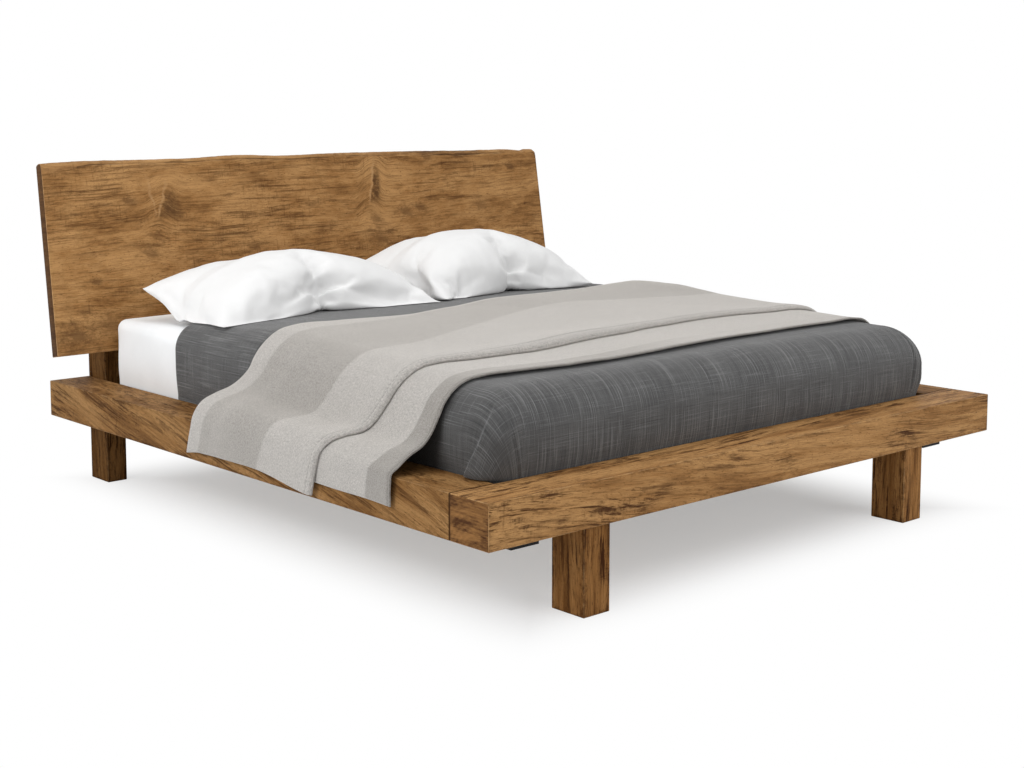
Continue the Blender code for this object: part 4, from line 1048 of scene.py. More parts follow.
duvet_rows = even(mattress_foot + foot_round, duvet_head - 0.024, 150)
duvet_rows += [duvet_head - back for back in (0.020, 0.016, 0.012, 0.008, 0.005, 0.003, 0.0012, 0.0003, 0.0)]
duvet_levels = even(0.05, tuck_fall - 1, 16) + [tuck_fall - 0.98, 1.0]
duvet_layout = (170, duvet_rows, 16, 72, duvet_levels, True, 4.0)
duvet = cover(duvet_outside, *duvet_layout)
duvet_under = cover(
    lambda fall, y: sheet_lift + (edge_loft if fall < 0.3 else 0.0030), *duvet_layout
).points


def bell(value, width):
    """A smooth hump of height 1."""
    return math.exp(-((value / width) ** 2))


def small_fold(across, half, width):
    """A hollow and a ridge side by side, which fade out over a width."""
    return math.sin(min(1.0, max(-1.0, across / half)) * math.pi) * bell(across, width)


duvet_pocket_shade = []
duvet_details = zip(duvet.points, duvet.ways, duvet.falls, duvet.weave, duvet.turns)
for index, (point, way, fall, (s, t), turn) in enumerate(duvet_details):
    edge = limited((duvet_head - point.y - 0.004) / 0.05)
    free = limited((point.z - beam_top - 0.004) / 0.05)
    swell = 0.0022 * noise.noise(Vector((s * 3.0, t * 3.0, 1.3)))
    swell += 0.0010 * noise.noise(Vector((s * 9, t * 9, 6.2)))
    if turn is not None and turn > 180 and fall > 0.15:
        swell += 0.0016 * noise.noise(Vector((s * 16, t * 2.0, 9.1))) * min(1.0, fall)
    if turn is not None and turn < 270 and point.y < -0.80:
        run = -(point.y + 0.929) if turn < 180.5 else (turn - 180) / 90 * 0.20
        far = run - 0.007 - 0.068 * (tuck_fall - fall)
        held = limited((fall - 0.42) / 0.35)
        if far > 0:
            swell += held * 0.0150 * max(0.0, 1 - far / 0.115) * min(1.0, far / 0.003)
        else:
            swell -= held * 0.0060 * bell(far, 0.035) * min(1.0, -far / 0.003)
        fan = run - 0.150 - 0.03 * (fall - 1.0)
        swell += 0.003 * small_fold(fan, 0.012, 0.014) * min(1.0, fall)
        flare = 0.018 * bell(run - 0.055, 0.055) * bell((point.z - beam_top - 0.006) / 0.040, 1.0)
        swell += flare * (1.0 if point.z > beam_top else 0.0)
        free = max(free, 1.0 if point.z > beam_top + 0.001 else 0.0)
    if turn is not None and 270 < turn < 360:
        share = (turn - 270) / 90
        for line, deep in ((0.22, 0.004), (0.45, 0.005), (0.70, 0.004)):
            fan = share - line + 0.12 * (fall - 1.0)
            swell += deep * small_fold(fan, 0.06, 0.08) * min(1.0, fall)
    duvet.points[index] = point + way * swell * edge * free
    # Painted shade: under the throw the duvet's left side is darkened a little, and fully in the hollow
    # behind the throw's hanging edge.
    pocket_shade = 0.0
    if turn is not None and turn < 230 and fall > 0.3 and point.y < 0.1:
        into = (point.y + 0.808 + 0.30 * (point.z - beam_top)) / 0.024 + 0.5
        pocket_shade = max(0.22 * min(1.0, (230 - turn) / 30), min(1.0, into)) * min(1.0, (fall - 0.3) / 0.3)
    duvet_pocket_shade.append(max(0.0, pocket_shade))

charcoal_linen, linen_tree, linen_shader = new_finish("charcoal_linen_cover")
linen_place = place(linen_tree, "ShaderNodeUVMap", uv_map="weave").outputs[0]


def slub_weave_group():
    """Plain weave with slubs: thick and thin threads both ways.

    The vector lies in the cloth in x and y, in metres.
    """
    tree, given, put = new_group(
        "slub_weave",
        (("Vector", "NodeSocketVector"),),
        (("Warp", "NodeSocketFloat"), ("Weft", "NodeSocketFloat"), ("Height", "NodeSocketFloat")),
    )
    warp = mottle(tree, given.outputs["Vector"], (260.0, 4.5, 1.0), 4.0, 0.66)
    weft = mottle(tree, given.outputs["Vector"], (6.0, 260.0, 1.0), 4.0, 0.66)
    apart = split(tree, given.outputs["Vector"])
    over = wave(tree, apart[0], 4200.0)
    under = wave(tree, apart[1], 4200.0)
    tree.links.new(warp, put.inputs["Warp"])
    tree.links.new(weft, put.inputs["Weft"])
    threads = reckon(tree, "MULTIPLY", reckon(tree, "MULTIPLY", over, under), 0.25)
    tree.links.new(reckon(tree, "ADD", threads, reckon(tree, "ADD", warp, weft)), put.inputs["Height"])
    return tree


SLUB_WEAVE = slub_weave_group()
linen = place(linen_tree, "ShaderNodeGroup", {"Vector": linen_place}, node_tree=SLUB_WEAVE)
faded = mottle(linen_tree, linen_place, (5.0, 5.0, 1.0), 4.0, 0.6)
washed = between(linen_tree, faded, 0.3, 0.7)
linen_colour = tint(linen_tree, washed, (0.070, 0.0695, 0.0695, 1.0), (0.091, 0.0905, 0.090, 1.0))
for thread, amount in ((linen.outputs["Weft"], 0.50), (linen.outputs["Warp"], 0.88)):
    pale = reckon(linen_tree, "MULTIPLY", between(linen_tree, thread, 0.52, 0.70), amount)
    linen_colour = tint(linen_tree, pale, linen_colour, (0.215, 0.215, 0.215, 1.0))
    deep = reckon(linen_tree, "MULTIPLY", between(linen_tree, thread, 0.48, 0.30), amount)
    linen_colour = tint(linen_tree, deep, linen_colour, (0.034, 0.034, 0.035, 1.0))
# Painted shade, darkening the cloth in the hollow under the throw by the share marked on its points.
pocket_shade_mark = place(linen_tree, "ShaderNodeAttribute", attribute_name="hollow").outputs["Fac"]
shaded = reckon(linen_tree, "MULTIPLY", pocket_shade_mark, 0.90)
linen_colour = tint(linen_tree, shaded, linen_colour, (0.012, 0.011, 0.010, 1.0))
linen_rough = reckon(linen_tree, "MULTIPLY_ADD", faded, 0.15, 0.78)
feed(linen_tree, linen_shader, linen_colour, linen_rough, 0.4, 0.0012, linen.outputs["Height"])
linen_shader.inputs["Specular IOR Level"].default_value = 0.2
linen_shader.inputs["Sheen Weight"].default_value = 0.26
duvet_piece = new_piece(
    "linen_duvet",
    *skin(duvet.points, duvet_under, duvet.faces),
    charcoal_linen,
    "mattress_set",
    "duvet",
    "charcoal_linen",
)


def lay_weave(piece, places):
    """Writes each point's place in the cloth as the piece's weave map."""
    layer = piece.data.uv_layers.new(name="weave")
    flat = []
    for loop in piece.data.loops:
        flat.extend(places[loop.vertex_index % len(places)])
    layer.data.foreach_set("uv", flat)


lay_weave(duvet_piece, duvet.weave)
duvet_pocket_shade += [0.0] * (len(duvet_piece.data.vertices) - len(duvet_pocket_shade))
mark(duvet_piece, "hollow", duvet_pocket_shade)

# Throw
# One wide blanket of soft grey knit with bands, folded along the head side into two layers and laid loose
# across the bed. It turns over the left edge, sags, and hangs over the beam. Each long edge is rolled into
# a hem, and a row of stitches follows the upper one, its dark line widened on the top into painted shade.

throw_layer = 0.006
throw_clear = 0.0060
covered_hem = 0.294
folded_hem = 0.284
far_from_hem = 9.0
pale_mark = 0.093
grey_mark = 0.585
throw_edges = {
    "head": (
        (0.0, 0.214), (0.16, 0.060), (0.24, 0.040), (0.35, 0.005), (0.46, 0.060), (0.62, 0.120), (1.0, 0.235)
    ),
    "upper": (
        (0.0, -0.452),
        (0.06, -0.520),
        (0.14, -0.622),
        (0.20, -0.655),
        (0.28, -0.675),
        (0.38, -0.680),
        (0.58, -0.598),
        (0.76, -0.568),
        (1.0, -0.638),
    ),
    "lower": (
        (0.0, -0.812),
        (0.16, -0.840),
        (0.24, -0.862),
        (0.34, -0.890),
        (0.49, -0.880),
        (0.66, -0.850),
        (1.0, -0.830),
    ),
}
hang_hems = {
    "upper": ((0.0, 0.277), (0.12, 0.288), (0.55, 0.291), (1.0, 0.264)),
    "lower": ((0.0, 0.302), (1.0, 0.298)),
}
pale_bands = ((0.0, 0.093), (0.20, 0.125), (0.30, 0.100), (0.40, 0.012), (0.60, 0.005), (1.0, 0.005))
grey_bands = (
    (0.0, 0.585),
    (0.20, 0.640),
    (0.29, 0.575),
    (0.36, 0.460),
    (0.45, 0.370),
    (0.60, 0.290),
    (0.74, 0.410),
    (0.86, 0.500),
    (1.0, 0.580),
)
knee_rises = ((0.0, 0.060), (0.55, 0.048), (1.0, 0.022))
shelf_rises = ((0.0, 0.100), (0.55, 0.064), (1.0, 0.070))
left_falls = (0.80, 0.64, 0.48, 0.32, 0.16, 0.0)
right_falls = (0.0, 0.2, 0.4, 0.6, 0.8, 1.0)
top_steps = 12
edge_lines = {name: eased_run(stops) for name, stops in throw_edges.items()}
hem_lines = {name: eased_run(stops) for name, stops in hang_hems.items()}
pale_line = eased_run(pale_bands)
grey_line = eased_run(grey_bands)
knee_line = eased_run(knee_rises)
shelf_line = eased_run(shelf_rises)


def throw_over_edge(y, sign, fall, lift):
    """A point of the throw over the rounded long edge of the bedding."""
    radius = edge_round(y)
    inner = sign * (mattress_half - radius)
    middle = mattress_top(inner, y) - radius
    loft = duvet_loft(y)
    reach = radius + sheet_lift + loft + (side_loft - loft) * eased(fall) + throw_clear + lift
    angle = fall * math.pi / 2
    return Vector((inner + sign * reach * math.sin(angle), y, middle + reach * math.cos(angle)))


def throw_stops(y, lift, hem, row):
    """Stations of the throw's section from the hanging hem to the far end.

    row is 0 at the head side, 1 at the foot.
    """
    hang = -1.1300 - lift
    knee = beam_top + knee_line(row)
    shelf = beam_top + shelf_line(row)
    stops = [
        Vector((hang - 0.004, y, hem)),
        Vector((hang - 0.008, y, hem + (beam_top - hem) * 0.8)),
        Vector((hang - 0.006, y, beam_top + (knee - beam_top) * 0.45 + lift * 0.3)),
        Vector((hang + 0.014, y, knee + lift * 0.7)),
        Vector((-1.088, y, knee + (shelf - knee) * 0.48 + lift)),
        Vector((-1.036 - lift * 0.5, y, shelf + lift)),
    ]
    stops += [throw_over_edge(y, -1, fall, lift) for fall in left_falls]
    reach = mattress_half - edge_round(y)
    for step in range(1, top_steps):
        x = reach * (2 * step / top_steps - 1)
        stops.append(Vector((x, y, mattress_top(x, y) + sheet_lift + duvet_loft(y) + throw_clear + lift)))
    stops += [throw_over_edge(y, 1, fall, lift) for fall in right_falls]
    stops.append(stops[-1] - Vector((0, 0, 0.055)))
    return stops


def throw_spots(count):
    """Even places along the throw's middle section, as a station and a share of the way to the next."""
    stops = throw_stops(-0.3, 0.006, 0.285, 0.4)
    lengths = [(second - first).length for first, second in zip(stops, stops[1:])]
    total = sum(lengths)
    spots = []
    number, passed = 0, 0.0
    for step in range(count + 1):
        wanted = total * step / count
        while number < len(lengths) - 1 and passed + lengths[number] < wanted:
            passed += lengths[number]
            number += 1
        spots.append((number, min(1.0, (wanted - passed) / lengths[number])))
    return spots, total


def throw_point(stops, number, part):
    """A point on a smooth curve through stations that lie at uneven distances."""
    start, end = stops[number], stops[number + 1]
    before = stops[max(0, number - 1)]
    after = stops[min(len(stops) - 1, number + 2)]
    gap = (end - start).length
    gap_before = (start - before).length or gap
    gap_after = (after - end).length or gap
    leave = ((start - before) / gap_before * gap + (end - start) / gap * gap_before) / (gap + gap_before)
    arrive = ((end - start) / gap * gap_after + (after - end) / gap_after * gap) / (gap + gap_after)
    if number == 0:
        leave = (end - start) / gap
    if number == len(stops) - 2:
        arrive = (end - start) / gap
    return curve(part, start, leave * gap, end, arrive * gap)


def throw_billow(share, y):
    """How far the cloth stands off its bed: long soft folds across it, and flutes where it hangs."""
    rest = limited((share - 0.10) / 0.08)
    folds = 0.0100 * max(0.0, noise.noise(Vector((share * 5.0 + y * 1.6, y * 2.3, 4.4))) + 0.10)
    folds += 0.0030 * max(0.0, noise.noise(Vector((share * 14.0 - y * 4.0, y * 8.0, 7.7))))
    flutes = 0.012 * max(0.0, noise.noise(Vector((y * 4.6 + 0.7, 0.0, 2.9))) + 0.15) * (1 - rest)
    return folds * (0.45 + 0.55 * rest) + flutes


def band_place(share, part):
    """Place among the upper layer's bands, which run a little askew to its edges."""
    pale, dull = max(0.001, pale_line(share)), grey_line(share)
    if part < pale:
        return pale_mark * part / pale
    if part < dull:
        return pale_mark + (grey_mark - pale_mark) * (part - pale) / (dull - pale)
    return grey_mark + (1 - grey_mark) * (part - dull) / (1 - dull)


throw_columns = 260
upper_parts = [part * 0.92 for part in even(0.0, 1.0, 40)]
upper_parts += [0.92 + 0.08 * part for part in even(0.0, 1.0, 26)[1:]]
column_spots, throw_length = throw_spots(throw_columns)
throw_points = []
throw_bands = []
throw_backs = []
throw_weave = []
hem_routes = {"upper": [], "lower": []}
for column, (number, between_stops) in enumerate(column_spots):
    share = column / throw_columns
    head, upper, lower = [edge_lines[name](share) for name in ("head", "upper", "lower")]
    covered = (upper - head) / (lower - head)
    route = []
    for part in reversed(even(0.0, 1.0, 64)):
        y = head + (lower - head) * part
        out = max(0.0, (part - covered) / (1 - covered))
        hem = hem_lines["lower"](out) if part > covered else covered_hem
        lift = 0.5 * throw_layer + throw_billow(share, y) + 0.004 * max(0.0, (part - 0.93) / 0.07) * share
        point = throw_point(throw_stops(y, lift, hem, part), number, between_stops)
        route.append((point, 1.0 + out, (lower - head) * part, far_from_hem))
    for turn in (45, 90, 135):
        angle = math.radians(turn)
        y = head + 0.004 * math.sin(angle)
        lift = throw_layer - 0.5 * throw_layer * math.cos(angle) + throw_billow(share, head)
        point = throw_point(throw_stops(y, lift, folded_hem, 0.0), number, between_stops)
        route.append((point, 0.0, 0.0, far_from_hem))
    for part in upper_parts:
        y = head + (upper - head) * part
        back = (1 - part) * (head - upper)
        thick = bell(share - 0.42, 0.16)
        reach = 0.016 + 0.014 * thick
        turned = bell(back - reach, 0.100)
        if back < reach:
            turned = math.sqrt(max(0.0, 1 - (1 - back / reach) ** 2))
        puff = (0.0080 + 0.0085 * thick) * turned - 0.0014 * bell(back - reach * 1.08, 0.004)
        lift = 1.5 * throw_layer + 0.0014 + throw_billow(share, y) + 0.0012 * math.sin(math.pi * part) + puff
        stops = throw_stops(y, lift, hem_lines["upper"](part), part * covered)
        point = throw_point(stops, number, between_stops)
        route.append((point, band_place(share, part), (head - upper) * part, back / reach))
    hem_routes["lower"].append(route[0][0].copy())
    hem_routes["upper"].append(route[-1][0].copy())
    throw_points += [point for point, band, spot, back in route]
    throw_bands += [band for point, band, spot, back in route]
    throw_backs += [back for point, band, spot, back in route]
    throw_weave += [(share * throw_length, spot) for point, band, spot, back in route]
route_size = len(route)
throw_faces = []
for column in range(throw_columns):
    for row in range(route_size - 1):
        first = column * route_size + row
        throw_faces.append([first, first + route_size, first + route_size + 1, first + 1])


def fleecy_knit_group():
    """Soft knit: slanted rows of stitches under a nap. The vector lies in the cloth in x and y, in metres."""
    tree, given, put = new_group(
        "fleecy_knit",
        (("Vector", "NodeSocketVector"),),
        (("Tone", "NodeSocketFloat"), ("Height", "NodeSocketFloat")),
    )
    apart = split(tree, given.outputs["Vector"])
    ribs = reckon(tree, "ABSOLUTE", wave(tree, apart[0], 900.0))
    slant = reckon(tree, "MULTIPLY_ADD", ribs, 0.0022, apart[1])
    stitches = wave(tree, slant, 1500.0)
    nap = mottle(tree, given.outputs["Vector"], (170.0, 210.0, 1.0), 5.0, 0.80)
    cloud = mottle(tree, given.outputs["Vector"], (34.0, 34.0, 1.0), 4.0, 0.62)
    tone = reckon(tree, "MULTIPLY_ADD", nap, 2.40, reckon(tree, "MULTIPLY_ADD", cloud, 0.32, -0.355))
    tree.links.new(reckon(tree, "MULTIPLY_ADD", stitches, 0.04, tone), put.inputs["Tone"])
    height = reckon(tree, "MULTIPLY_ADD", stitches, 0.25, reckon(tree, "MULTIPLY_ADD", ribs, 0.3, nap))
    tree.links.new(height, put.inputs["Height"])
    return tree


FLEECY_KNIT = fleecy_knit_group()
knit_light = (0.426, 0.404, 0.379, 1.0)
knit_grey = (0.324, 0.304, 0.281, 1.0)
knit_deep = (0.279, 0.261, 0.240, 1.0)


def grey_knit(name, plain=None):
    """The throw's knit, with bands and hem stitches, or in one plain colour as in the rolled edges."""
    material, tree, shader = new_finish(name)
    cloth = place(tree, "ShaderNodeUVMap", uv_map="weave").outputs[0]
    knit = place(tree, "ShaderNodeGroup", {"Vector": cloth}, node_tree=FLEECY_KNIT)
    if plain:
        worn = between(tree, mottle(tree, cloth, (60.0, 90.0, 1.0), 3.0), 0.35, 0.65)
        colour = tint(tree, worn, plain, toned(plain, 0.80))
    else:
        ragged = mottle(tree, cloth, (60.0, 160.0, 1.0), 3.0, 0.6)
        ragged = reckon(tree, "MULTIPLY_ADD", ragged, 0.020, -0.010)
        whole = place(tree, "ShaderNodeAttribute", attribute_name="band").outputs["Fac"]
        band = reckon(tree, "ADD", whole, ragged)
        wide = reckon(tree, "MULTIPLY", between(tree, band, 0.084, 0.104), between(tree, band, 0.594, 0.574))
        faint = reckon(tree, "MULTIPLY", between(tree, band, 0.16, 0.20), between(tree, band, 0.30, 0.25))
        colour = tint(tree, wide, knit_light, knit_grey)
        colour = tint(tree, reckon(tree, "MULTIPLY", faint, 0.12), colour, knit_light)
        along = split(tree, cloth)[0]
        fading = reckon(tree, "MULTIPLY_ADD", between(tree, along, 1.45, 0.95), 0.75, 0.25)
        edging = reckon(tree, "MULTIPLY", between(tree, band, 1.67, 1.70), fading)
        colour = tint(tree, edging, colour, knit_deep)
        from_hem = place(tree, "ShaderNodeAttribute", attribute_name="from_hem").outputs["Fac"]
        row = reckon(tree, "ABSOLUTE", reckon(tree, "SUBTRACT", from_hem, 1.08))
        loose = mottle(tree, cloth, (40.0, 40.0, 1.0), 3.0)
        steps = reckon(tree, "MULTIPLY_ADD", loose, 9.0, reckon(tree, "MULTIPLY", along, 520.0))
        stitch_and_groove_shade = between(tree, reckon(tree, "SINE", steps), -0.9, 0.4)
        # The stitches are real, and on the top their dark row is widened and deepened as painted shade in the
        # sewn groove beside the hem.
        on_top = between(tree, along, 0.70, 1.00)
        spread = reckon(tree, "MULTIPLY_ADD", on_top, 0.15, 0.21)
        stitch_and_groove_shade = reckon(tree, "MULTIPLY", stitch_and_groove_shade, between(tree, row, spread, 0.07))
        stitch_and_groove_shade = reckon(tree, "MULTIPLY", stitch_and_groove_shade, reckon(tree, "MULTIPLY_ADD", on_top, 0.30, 0.52))
        colour = tint(tree, stitch_and_groove_shade, colour, (0.17, 0.16, 0.15, 1.0))
    colour = tint(tree, 1.0, colour, grey(tree, knit.outputs["Tone"]), "MULTIPLY")
    rough = reckon(tree, "MULTIPLY_ADD", knit.outputs["Tone"], 0.1, 0.82)
    feed(tree, shader, colour, rough, 0.5, 0.0016, knit.outputs["Height"])
    shader.inputs["Specular IOR Level"].default_value = 0.1
    shader.inputs["Sheen Weight"].default_value = 0.74
    shader.inputs["Sheen Tint"].default_value = (1.0, 0.96, 0.91, 1.0)
    return material


throw_piece = new_piece(
    "knit_throw", throw_points, throw_faces, grey_knit("banded_knit"), "mattress_set", "throw", "grey_knit"
)
lay_weave(throw_piece, throw_weave)
mark(throw_piece, "band", throw_bands)
mark(throw_piece, "from_hem", throw_backs)
thicken = throw_piece.modifiers.new("thickness", "SOLIDIFY")
thicken.thickness = throw_layer * 0.86
thicken.offset = 0.0

for hem_name, radius, hem_colour in (("upper", 0.0046, knit_light), ("lower", 0.0036, knit_deep)):
    route = hem_routes[hem_name]
    hem_points = []
    hem_places = []
    around = 14
    fine = []
    for number in range((len(route) - 1) * 4 + 1):
        spot = number / 4
        base = min(len(route) - 2, int(spot))
        fine.append(route[base].lerp(route[base + 1], spot - base))
    travelled = 0.0
    for number, centre in enumerate(fine):
        ahead = fine[min(len(fine) - 1, number + 2)] - fine[max(0, number - 2)]
        ahead.normalize()
        out = ahead.cross(Vector((0, 1, 0))).normalized()
        side = out.cross(ahead).normalized()
        if number:
            travelled += (centre - fine[number - 1]).length
        for step in range(around):
            angle = 2 * math.pi * step / around
            wrap = 1 + 0.05 * math.sin(travelled / 0.0105 * 2 * math.pi + angle)
            hem_points.append(
                centre + (out * math.cos(angle) * 0.92 + side * math.sin(angle)) * radius * wrap
            )
            hem_places.append((travelled, angle * radius))
    hem_faces = tube_faces(len(hem_points), around)
    hem_knit = grey_knit(hem_name + "_hem_knit", hem_colour)
    hem_piece = new_piece(
        "throw_" + hem_name + "_hem", hem_points, hem_faces, hem_knit, "mattress_set", None, "grey_knit"
    )
    lay_weave(hem_piece, hem_places)

# Pillows
# Two soft feather pillows in plain white cotton cases, sewn flat and then stuffed, so that the cloth puckers
# along its seams and runs out into pointed corners. They lie loose on the bed and rise towards the headboard.

pillow_half = 0.302
pillow_lean = 0.075
pillow_bridge = 0.070
pillow_clear = 0.002
pillow_set_back = 0.095
pucker_reach = 0.028
case_half_width = 0.475
case_half_depth = 0.348
settle_steps = 36


def rest_height(x, y):
    """Top of what a pillow lies on: the duvet up to its edge, then down to the sheet."""
    bed = mattress_top(max(-mattress_half, min(mattress_half, x)), y) + sheet_lift + 0.0004
    step = duvet_head + pillow_bridge
    if y < step:
        return bed + duvet_loft(min(y, duvet_head))
    return bed + duvet_loft(duvet_head) * limited((step + pillow_bridge - y) / pillow_bridge)


def stuffed_case(name, seed, fill, notches):
    """Sews two flat pieces of cotton along their edges, stuffs them and lets them settle.

    Gives points and faces. The fill is in cubic metres. A notch is a place along the front seam where the
    cloth is drawn in, with its depth. Each point has its place across and along the case from -1 to 1, its
    height from 0 at the bottom to 1 at the top, and where it was cut: its share of the width and of the
    depth, and 1 in the upper or -1 in the lower piece.
    """
    across, deep = 84, 62
    points = []
    cuts = []
    numbers = {}
    for i in range(across + 1):
        for j in range(deep + 1):
            u = 2 * i / across - 1
            v = 2 * j / deep - 1
            belly = (1 - u**2) * (1 - v**2)
            x = case_half_width * u * (1 - 0.03 * (1 - v * v))
            y = case_half_depth * v * (1 - 0.04 * (1 - u * u))
            for notch, depth in notches:
                y += depth * bell(x - notch, 0.028) * ((1 - v) / 2) ** 3
            for way in (1, -1):
                if belly < 1e-9 and way == -1:
                    numbers[i, j, -1] = numbers[i, j, 1]
                    continue
                rough = 0.012 * noise.noise(Vector((u * 3 + seed, v * 3, seed)))
                rough += 0.006 * noise.noise(Vector((u * 9 + seed, v * 7, seed + way)))
                numbers[i, j, way] = len(points)
                cuts.append((i / across, j / deep, way))
                height = 0.05 + way * (0.012 + 0.04 * belly) * belly**0.5 + rough * belly**0.5
                points.append(Vector((x, y, height)))
    faces = []
    for i in range(across):
        for j in range(deep):
            square = ((i, j), (i + 1, j), (i + 1, j + 1), (i, j + 1))
            faces.append([numbers[a, b, 1] for a, b in square])
            faces.append([numbers[a, b, -1] for a, b in reversed(square)])
    scene = bpy.context.scene
    bed_mesh = bpy.data.meshes.new(name + "_bed")
    bed_mesh.from_pydata([(-2, -2, 0), (2, -2, 0), (2, 2, 0), (-2, 2, 0)], [], [(0, 1, 2, 3)])
    case_mesh = bpy.data.meshes.new(name + "_flat")
    case_mesh.from_pydata(points, [], faces)
    bed = bpy.data.objects.new(name + "_bed", bed_mesh)
    case = bpy.data.objects.new(name + "_flat", case_mesh)
    scene.collection.objects.link(bed)
    scene.collection.objects.link(case)
    bed.modifiers.new("bed", "COLLISION")
    stuffing = case.modifiers.new("stuffing", "CLOTH")
    cloth = stuffing.settings
    cloth.quality = 6
    cloth.mass = 0.2
    cloth.air_damping = 2.0
    cloth.tension_stiffness = 30.0
    cloth.compression_stiffness = 30.0
    cloth.shear_stiffness = 10.0
    cloth.bending_stiffness = 0.08
    cloth.use_pressure = True
    cloth.uniform_pressure_force = 0.0
    cloth.use_pressure_volume = True
    cloth.target_volume = fill
    cloth.pressure_factor = 40.0
    cloth.effector_weights.gravity = 0.1
    stuffing.collision_settings.distance_min = 0.004
    stuffing.point_cache.frame_end = settle_steps
    for step in range(1, settle_steps + 1):
        scene.frame_set(step)
    graph = bpy.context.evaluated_depsgraph_get()
    stuffed = case.evaluated_get(graph).to_mesh()
    points = [vertex.co.copy() for vertex in stuffed.vertices]
    case.evaluated_get(graph).to_mesh_clear()
    bpy.data.objects.remove(case)
    bpy.data.objects.remove(bed)
    scene.frame_set(1)
    beside = [set() for point in points]
    for face in faces:
        for here, there in zip(face, face[1:] + face[:1]):
            beside[here].add(there)
            beside[there].add(here)
    for ironing in range(2):
        means = [sum((points[other] for other in near), Vector()) / len(near) for near in beside]
        points = [
            point if a in (0, 1) or b in (0, 1) else point.lerp(mean, 0.5)
            for point, mean, (a, b, way) in zip(points, means, cuts)
        ]
    low = [min(point[axis] for point in points) for axis in range(3)]
    high = [max(point[axis] for point in points) for axis in range(3)]
    shares = [[(point[axis] - low[axis]) / (high[axis] - low[axis]) for axis in range(3)] for point in points]
    return [(u * 2 - 1, v * 2 - 1, height, cut) for (u, v, height), cut in zip(shares, cuts)], faces


pillow_cotton = percale("pillow_cotton", (0.852, 0.852, 0.850, 1.0), (0.824, 0.824, 0.822, 1.0))


def lay_pillow(side, centre_x, half_x, seed, fill, rise, shoulders, notches, spots):
    """Lays a stuffed case of a given rise on the bed, and draws its seam to where it lies.

    shoulders are the extra heights of its left and right halves. spots are the places of its corners, keyed
    by their shares of the width and the depth, and of the middle of a side seam where that is drawn in too.
    """
    shape, case_faces = stuffed_case(side + "_pillow_case", seed, fill, notches)
    centre_y = mattress_head - pillow_set_back - pillow_half
    case_points = []
    for u, v, height, (a, b, way) in shape:
        x = centre_x + u * half_x
        y = centre_y + v * pillow_half
        loose = min(1.0, max(height / 0.12, (abs(u) - 0.55) / 0.40))
        lean = pillow_lean * ((v + 1) / 2) ** 1.3 * loose * loose * (3 - 2 * loose)
        from_seam = b * 2 * pillow_half / pucker_reach
        extra = 0.0
        if way > 0:
            pucker = noise.noise(Vector((a * 25, seed, b * 3))) * from_seam * math.exp(1 - from_seam)
            extra = 0.0115 * pucker
            ends = shoulders[0] * bell(u + 0.42, 0.36) + shoulders[1] * bell(u - 0.66, 0.24)
            front = 0.025 * bell(v + 0.55, 0.34) * (1 - u * u)
            extra += (ends * (v + 1) / 2 + front) * min(1.0, height / 0.3)
            for notch, depth in notches:
                drawn = bell(u * half_x - notch, 0.016) * math.exp(-from_seam / 4)
                extra -= depth * drawn * min(1.0, from_seam)
        lowest = rest_height(x, y) + pillow_clear
        case_points.append(Vector((x, y, lowest + height * rise + lean + extra)))
    for middle in (False, True):
        pulls = {}
        for point, (u, v, height, (a, b, way)) in zip(case_points, shape):
            if (a, b) in spots and (b == 0.5) == middle:
                pulls[a, b] = Vector(spots[a, b]) - point
        for point, (u, v, height, (a, b, way)) in zip(case_points, shape):
            for (right, back), pull in pulls.items():
                weight = a if right else 1 - a
                if middle:
                    weight *= (4 * b * (1 - b)) ** (2 if b < 0.5 else 5) * weight**3
                else:
                    weight *= b if back else 1 - b
                point += Vector((pull.x * weight, pull.y * weight, pull.z * weight ** (1 if middle else 3)))
            point.z = max(point.z, rest_height(point.x, point.y) + pillow_clear)
    pillow = side + "_pillow"
    pillow_piece = new_piece(
        pillow + "_case", case_points, case_faces, pillow_cotton, pillow, pillow, "white_cotton"
    )
    smooth_over = pillow_piece.modifiers.new("round_over", "SUBSURF")
    smooth_over.levels = 1
    smooth_over.render_levels = 1


lay_pillow(
    "left",
    centre_x=-0.481,
    half_x=0.446,
    seed=1.7,
    fill=0.059,
    rise=0.184,
    shoulders=(0.029, 0.0),
    notches=((0.0, 0.024),),
    spots={
        (0, 0): (-0.945, 0.322, 0.615),
        (1, 0): (-0.012, 0.340, 0.642),
        (0, 1): (-0.921, 0.900, 0.716),
        (1, 1): (-0.040, 0.912, 0.715),
        (0, 0.5): (-0.912, 0.610, 0.624),
    },
)
lay_pillow(
    "right",
    centre_x=0.403,
    half_x=0.435,
    seed=6.3,
    fill=0.061,
    rise=0.204,
    shoulders=(0.046, 0.022),
    notches=((0.04, 0.018),),
    spots={
        (0, 0): (0.024, 0.352, 0.650),
        (1, 0): (0.806, 0.385, 0.646),
        (0, 1): (-0.028, 0.912, 0.725),
        (1, 1): (0.832, 0.912, 0.715),
    },
)

# Studio
# A pale floor that fades into a white room, soft light from above, from the front and from the left side, and
# a camera where the photograph was taken.

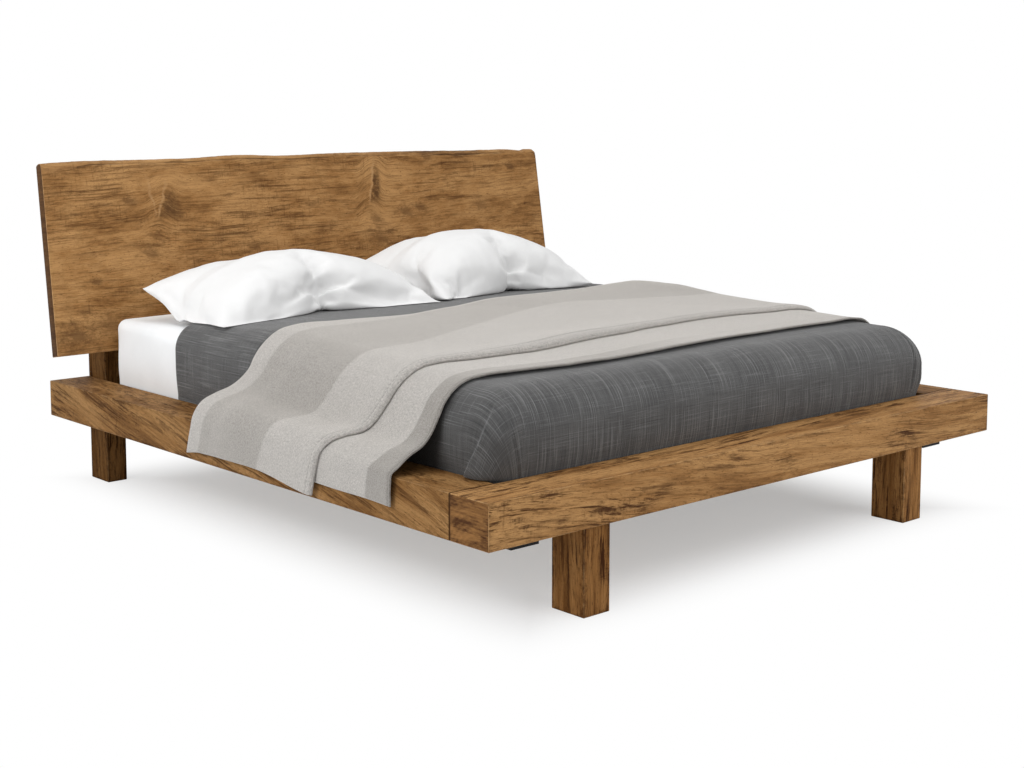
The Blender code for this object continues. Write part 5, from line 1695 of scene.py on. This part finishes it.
floor_mesh = bpy.data.meshes.new("studio_floor")
floor_reach = 30.0
floor_mesh.from_pydata(
    [(x * floor_reach, y * floor_reach, 0) for x, y in ((-1, -1), (1, -1), (1, 1), (-1, 1))],
    [],
    [(0, 1, 2, 3)],
)
floor = bpy.data.objects.new("studio_floor", floor_mesh)
bpy.context.scene.collection.objects.link(floor)
floor_paint, floor_tree, floor_shader = new_finish("studio_floor")
floor_shader.inputs["Base Color"].default_value = (0.915, 0.930, 0.945, 1.0)
floor_shader.inputs["Roughness"].default_value = 0.95
floor_shader.inputs["Specular IOR Level"].default_value = 0.0
floor_spot = place(floor_tree, "ShaderNodeTexCoord").outputs["Object"]
floor_part = split(floor_tree, floor_spot)
floor_seen = place(floor_tree, "ShaderNodeLightPath").outputs["Is Camera Ray"]
beside = between(floor_tree, reckon(floor_tree, "ABSOLUTE", floor_part[0]), 0.68, 1.17)
before = between(floor_tree, reckon(floor_tree, "ABSOLUTE", floor_part[1]), 0.88, 1.36)
away = reckon(floor_tree, "MAXIMUM", beside, before)
# Where the camera sees the floor, it glows white by this share: fully away from the bed, which is the white
# room, and by 0.37 beneath it, which is painted light that lightens the bed's shadow.
floor_glow_share = reckon(floor_tree, "MULTIPLY_ADD", away, 0.63, 0.37)
white_room_and_fill_glow = place(floor_tree, "ShaderNodeEmission", {"Color": (1.0, 1.0, 1.0, 1.0), "Strength": 1.0})
floor_mix = place(
    floor_tree,
    "ShaderNodeMixShader",
    {
        0: reckon(floor_tree, "MULTIPLY", floor_glow_share, floor_seen),
        1: floor_shader.outputs[0],
        2: white_room_and_fill_glow.outputs[0],
    },
)
floor_tree.links.new(floor_mix.outputs[0], floor_tree.nodes["Material Output"].inputs["Surface"])
floor_mesh.materials.append(floor_paint)

world = bpy.data.worlds.new("studio")
world.use_nodes = True
sky = world.node_tree
seen = place(sky, "ShaderNodeLightPath")
shown = reckon(sky, "MAXIMUM", seen.outputs["Is Camera Ray"], seen.outputs["Is Glossy Ray"])
shown = reckon(sky, "MAXIMUM", shown, seen.outputs["Is Transmission Ray"])
strength = reckon(sky, "MULTIPLY_ADD", shown, 0.42, 0.58)
sky.nodes["Background"].inputs["Color"].default_value = (1.0, 1.0, 1.0, 1.0)
sky.links.new(strength, sky.nodes["Background"].inputs["Strength"])
bpy.context.scene.world = world

for lamp_name, lamp_place, aim, size, power in (
    ("overhead_softbox", (-0.8, -0.8, 5.2), (0.0, 0.0, 0.4), 4.5, 94.0),
    ("front_softbox", (1.6, -6.2, 3.0), (0.0, 0.0, 0.5), 3.0, 66.0),
    ("side_softbox", (-6.0, 0.2, 2.6), (0.0, 0.2, 0.5), 3.0, 115.0),
):
    lamp = bpy.data.lights.new(lamp_name, "AREA")
    lamp.shape = "SQUARE"
    lamp.size = size
    lamp.energy = power
    lamp_holder = bpy.data.objects.new(lamp_name, lamp)
    lamp_holder.location = lamp_place
    lamp_holder.rotation_euler = (Vector(aim) - Vector(lamp_place)).to_track_quat("-Z", "Y").to_euler()
    bpy.context.scene.collection.objects.link(lamp_holder)

lens = bpy.data.cameras.new("photo_camera")
lens.sensor_width = 36.0
lens.lens = 55.863
lens.shift_y = -0.10
lens.clip_end = 200.0
camera = bpy.data.objects.new("photo_camera", lens)
camera.location = (-3.6472, -4.0897, 1.3492)
camera.rotation_euler = (math.radians(83.719), 0.0, math.radians(-41.885))
bpy.context.scene.collection.objects.link(camera)
bpy.context.scene.camera = camera
bpy.context.scene.view_settings.view_transform = "Standard"
